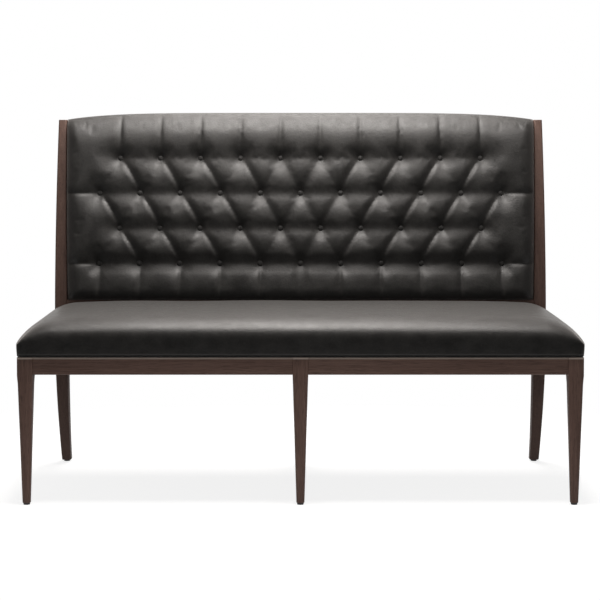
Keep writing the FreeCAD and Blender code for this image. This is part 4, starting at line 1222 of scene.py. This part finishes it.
@dataclass
class WoodFrame:
    """Walnut frame: tapered legs, sabre-curved posts, and the rails as they are in the frame."""

    line: BackLine
    foot: float = 5 * MM
    head: float = 42 * MM
    toe: float = 22 * MM
    head_corner: float = 1.6 * MM
    shaft_corner: float = 9 * MM
    shoulder: float = 0.352
    blend: float = 24 * MM
    rail_top: float = 0.402
    post_corner: float = 4.5 * MM
    post_low: float = 0.340
    post_steps: int = 45
    flare_start: float = 0.506
    seat_faces: tuple[float, float] = (0.202, 0.250)
    foot_faces: tuple[float, float] = (0.266, 0.294)
    top_faces: tuple[float, float] = (0.2795, 0.3075)
    post_sides: tuple[float, float] = (0.702, 0.7395)
    top_sides: tuple[float, float] = (0.712, 0.7362)
    foot_outer: float = 0.730
    # Posts take the walnut tones darkened by this factor: painted shade, since the lamps light the leaning
    # posts more
    post_painted_shade: float = 0.62
    shaft_levels: tuple[float, ...] = (0.06, 0.12, 0.18, 0.24, 0.30)
    blend_shares: tuple[float, ...] = (1.0, 0.6, 0.25)
    leg_edge: float = 1.2 * MM
    post_edge: float = 1.5 * MM
    legs: tuple[str, ...] = ("front_leg_left", "front_leg_centre", "front_leg_right", "rear_leg_centre")
    posts: tuple[str, ...] = ("rear_post_left", "rear_post_right")
    rails_across: tuple[str, ...] = ("front_rail_left", "front_rail_right", "rear_rail_left",
                                     "rear_rail_right", "back_lower_rail")
    rails_deep: tuple[str, ...] = ("side_rail_left", "side_rail_right", "centre_stretcher")

    def leg(self, node: str, material: bpy.types.Material) -> None:
        """Model one leg: a square head that turns into a tapered shaft with rounded corners.

        Args:
            node: the node that the leg stands for.
            material: its finish.
        """
        low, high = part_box(node)
        centre = (low + high) / 2
        levels = [self.foot, *self.shaft_levels,
                  *(self.shoulder - share * self.blend for share in self.blend_shares),
                  self.shoulder, self.rail_top]
        sections = []
        for level in levels:
            share = min(1.0, (level - self.foot) / (self.shoulder - self.foot))
            half = (self.toe + (self.head - self.toe) * share) / 2
            turn = min(1.0, max(0.0, (level - self.shoulder + self.blend) / self.blend))
            radius = self.shaft_corner + (self.head_corner - self.shaft_corner) * turn
            sections.append(Section(level, centre.x - half, centre.x + half, centre.y - half, centre.y + half,
                                    radius))
        dress(timber(f"{node}_timber", sections, self.leg_edge), material, "walnut", node)

    def post(self, node: str, sign: int, material: bpy.types.Material) -> None:
        """Model one post: straight at the seat, curved back to its foot and to its top.

        Args:
            node: the node that the post stands for.
            sign: -1 on the left, 1 on the right.
            material: its finish.
        """
        low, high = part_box(node)
        top, foot = high.z, low.z
        sections = []
        for level in np.linspace(foot, top, self.post_steps):
            flare = min(1.0, max(0.0, (level - self.flare_start) / (top - self.flare_start)))
            toe_in = min(1.0, max(0.0, (self.post_low - level) / (self.post_low - foot)))
            rake = max(0.0, (level - self.line.start) / (top - self.line.start))
            share, faces = (toe_in, self.foot_faces) if level < self.post_low else (rake, self.top_faces)
            front, rear = [seat + (end - seat) * share ** 2 for seat, end in zip(self.seat_faces, faces)]
            inner = self.post_sides[0] + (self.top_sides[0] - self.post_sides[0]) * flare
            outer = (self.post_sides[1] + (self.top_sides[1] - self.post_sides[1]) * flare
                     + (self.foot_outer - self.post_sides[1]) * toe_in)
            left, right = sorted((sign * inner, sign * outer))
            sections.append(Section(float(level), left, right, front, rear, self.post_corner))
        dress(timber(f"{node}_timber", sections, self.post_edge), material, "walnut", node)

    def build(self) -> None:
        """Build the legs and posts, and paint the rest of the frame."""
        upright, across, deep = [WalnutFinish(run).make() for run in (Run.UPRIGHT, Run.ACROSS, Run.DEEP)]
        # The posts' walnut is a darker copy of the same finish, painted shade, without the painted highlight
        # edge
        post_walnut = WalnutFinish(Run.UPRIGHT, "walnut_post", self.post_painted_shade, painted_highlight_band=()).make()
        for node in self.legs:
            self.leg(node, upright)
        for node, sign in zip(self.posts, (-1, 1)):
            self.post(node, sign, post_walnut)
        for nodes, material in ((self.rails_across, across), (self.rails_deep, deep)):
            for node in nodes:
                paint(node, material)


@dataclass
class InnerPieces:
    """Pieces inside the bench or under it, shown as they are in the frame."""

    pale: tuple[str, ...] = ("corner_block_front_left", "corner_block_front_right", "corner_block_rear_left",
                             "corner_block_rear_right", "rail_dowels", "back_dowels", "back_top_rail",
                             "back_bottom_rail", "back_stile_left", "back_stile_right", "back_muntin_left",
                             "back_muntin_right")
    plywood: tuple[str, ...] = ("back_board",)
    # The seat board is plywood given the dark lining finish, as if wrapped; its edge in the gap under the seat
    # front is painted shade for the dark line there
    lining: tuple[str, ...] = ("seat_board", "seat_dust_cover")
    steel: tuple[str, ...] = ("corner_block_screws", "seat_screws", "twine_toggles")

    def build(self) -> None:
        """Paint each piece with its own finish."""
        finishes = ((self.pale, PALE_WOOD), (self.plywood, PLYWOOD), (self.steel, STEEL),
                    (("foot_glides",), GLIDE_PLASTIC), (self.lining, LINING_AND_PAINTED_SHADE), (("tuft_twines",), TWINE))
        for nodes, finish in finishes:
            material = finish.make()
            for node in nodes:
                paint(node, material)


@dataclass(frozen=True)
class Lamp:
    """Soft rectangular lamp: where it hangs, what it faces, its size and its power."""

    name: str
    place: tuple[float, float, float]
    aim: tuple[float, float, float]
    size: tuple[float, float]
    power: float
    colour: tuple[float, float, float] = (1.0, 0.955, 0.92)

    def hang(self) -> None:
        """Hang the lamp."""
        light = bpy.data.lights.new(self.name, "AREA")
        light.shape = "RECTANGLE"
        light.size, light.size_y = self.size
        light.energy = self.power
        light.color = self.colour
        lamp = bpy.data.objects.new(self.name, light)
        lamp.visible_camera = False
        lamp.location = self.place
        lamp.rotation_euler = (Vector(self.aim) - Vector(self.place)).to_track_quat("-Z", "Y").to_euler()
        bpy.context.scene.collection.objects.link(lamp)


@dataclass
class Studio:
    """Pale floor, white surround, soft light and the camera.

    A slope gives a factor and an offset for a direction's part along one axis.
    """

    camera_place: tuple[float, float, float] = (0.0, -4.4465, 1.0016)
    camera_pitch: float = 2.0
    lens: float = 93.0
    shift: tuple[float, float] = (-0.0007, -0.1864)
    floor_half: float = 4.0
    floor_reach: tuple[float, float] = (0.70, 1.25)
    floor_stretch: tuple[float, float, float] = (0.55, 1.0, 1.0)
    floor_tone: tuple[float, float, float] = (0.34, 0.34, 0.34)
    floor_lift: float = 0.80
    front_light: float = 0.66
    side_light: float = 0.08
    front_gloss: float = 0.06
    backdrop_slope: tuple[float, float] = (7.0, -5.6)
    low_slope: tuple[float, float] = (8.0, 1.0)
    low_light: float = 0.25
    sensor: float = 36.0
    far: float = 60.0
    floor_steps: int = 4
    lamps: tuple[Lamp, ...] = (
        Lamp("overhead", (0.0, -0.20, 2.15), (0.0, 0.05, 0.0), (1.45, 0.9), 80.0),
        Lamp("top_rear", (0.0, 0.95, 2.55), (0.0, 0.3, 0.0), (1.45, 0.9), 43.0))

    @staticmethod
    def seen_rays(shader: Shader) -> Sock:
        """Tell which rays see the surround: those from the camera, from gloss and through glass.

        Args:
            shader: the node tree.

        Returns:
            One for those rays, nothing for the rest.
        """
        names = ("Is Camera Ray", "Is Glossy Ray", "Is Transmission Ray")
        path = [shader.node("ShaderNodeLightPath", None, None, name) for name in names]
        return (path[0] + path[1] + path[2]).at_most(1.0)

    def floor(self) -> None:
        """Lay the floor: white to the camera where nothing shades it, pale to everything else."""
        shape = bmesh.new()
        bmesh.ops.create_grid(shape, x_segments=self.floor_steps, y_segments=self.floor_steps,
                              size=self.floor_half)
        floor = to_object(shape, "floor")
        material = bpy.data.materials.new("pale_floor")
        shader = Shader(material)
        seen = self.seen_rays(shader)
        pale = shader.node("ShaderNodeBsdfDiffuse", None, {"Color": (*self.floor_tone, 1.0)})
        lift = shader.node("ShaderNodeEmission", None, {"Color": WHITE, "Strength": seen * self.floor_lift})
        ground = shader.node("ShaderNodeAddShader", None, {0: pale, 1: lift})
        reach = shader.node("ShaderNodeVectorMath", {"operation": "LENGTH"},
                            {0: shader.stretched(self.floor_stretch)}, "Value")
        start, end = self.floor_reach
        fading = ((reach - start) * (1 / (end - start))).clamped()
        clear = shader.node("ShaderNodeBsdfTransparent", None, {"Color": WHITE})
        shader.finish(shader.node("ShaderNodeMixShader", None, {0: fading, 1: ground, 2: clear}))
        floor.data.materials.append(material)

    def surround(self) -> None:
        """Make the world: white where it is seen, dimmer as a light."""
        world = bpy.data.worlds.new("surround")
        bpy.context.scene.world = world
        shader = Shader(world)
        camera = shader.node("ShaderNodeLightPath", None, None, "Is Camera Ray")
        seen = self.seen_rays(shader)
        place = shader.node("ShaderNodeTexCoord", None, None, "Generated")
        deep = shader.node("ShaderNodeSeparateXYZ", None, {"Vector": place}, "Y")
        high = shader.node("ShaderNodeSeparateXYZ", None, {"Vector": place}, "Z")
        slope, offset = self.backdrop_slope
        backdrop = (deep * slope + offset).at_most(1.0).at_least(self.front_gloss)
        front = (deep * -1.0).at_least(deep) * self.front_light + self.side_light
        slope, offset = self.low_slope
        low = (high * slope + offset).at_most(1.0).at_least(self.low_light)
        strength = camera + (1 - camera) * low * (seen * backdrop + (1 - seen) * front)
        background = shader.node("ShaderNodeBackground", None, {"Color": WHITE, "Strength": strength})
        shader.finish(background, "World")

    def camera(self) -> None:
        """Set the camera up at the photograph's view."""
        data = bpy.data.cameras.new("camera")
        data.lens = self.lens
        data.sensor_width = self.sensor
        data.shift_x, data.shift_y = self.shift
        data.clip_end = self.far
        camera = bpy.data.objects.new("camera", data)
        camera.location = self.camera_place
        camera.rotation_euler = (math.radians(90.0 - self.camera_pitch), 0.0, 0.0)
        bpy.context.scene.collection.objects.link(camera)
        bpy.context.scene.camera = camera

    def build(self) -> None:
        """Set the studio up."""
        bpy.context.scene.view_settings.view_transform = "Standard"
        self.floor()
        self.surround()
        for lamp in self.lamps:
            lamp.hang()
        self.camera()


def main() -> None:
    """Build the bench and its studio."""
    logging.basicConfig(level=logging.INFO, format="%(name)s: %(message)s")
    line = BackLine()
    # The seat leather carries the painted shade band at its lower edge
    seat_leather = LeatherFinish("seat_leather", painted_shade_band=(0.4062, 0.4092)).make()
    back_leather = LeatherFinish("back_leather", gloss=0.46, sheen=0.18, shine=0.37).make()
    button_leather = LeatherFinish("button_leather", gloss=0.60, sheen=0.12).make()
    WoodFrame(line).build()
    Seat(seat_leather, LINING_AND_PAINTED_SHADE.make()).build()
    TuftedBack(line, back_leather, button_leather).build()
    InnerPieces().build()
    Studio().build()


if __name__ == "__main__":
    main()
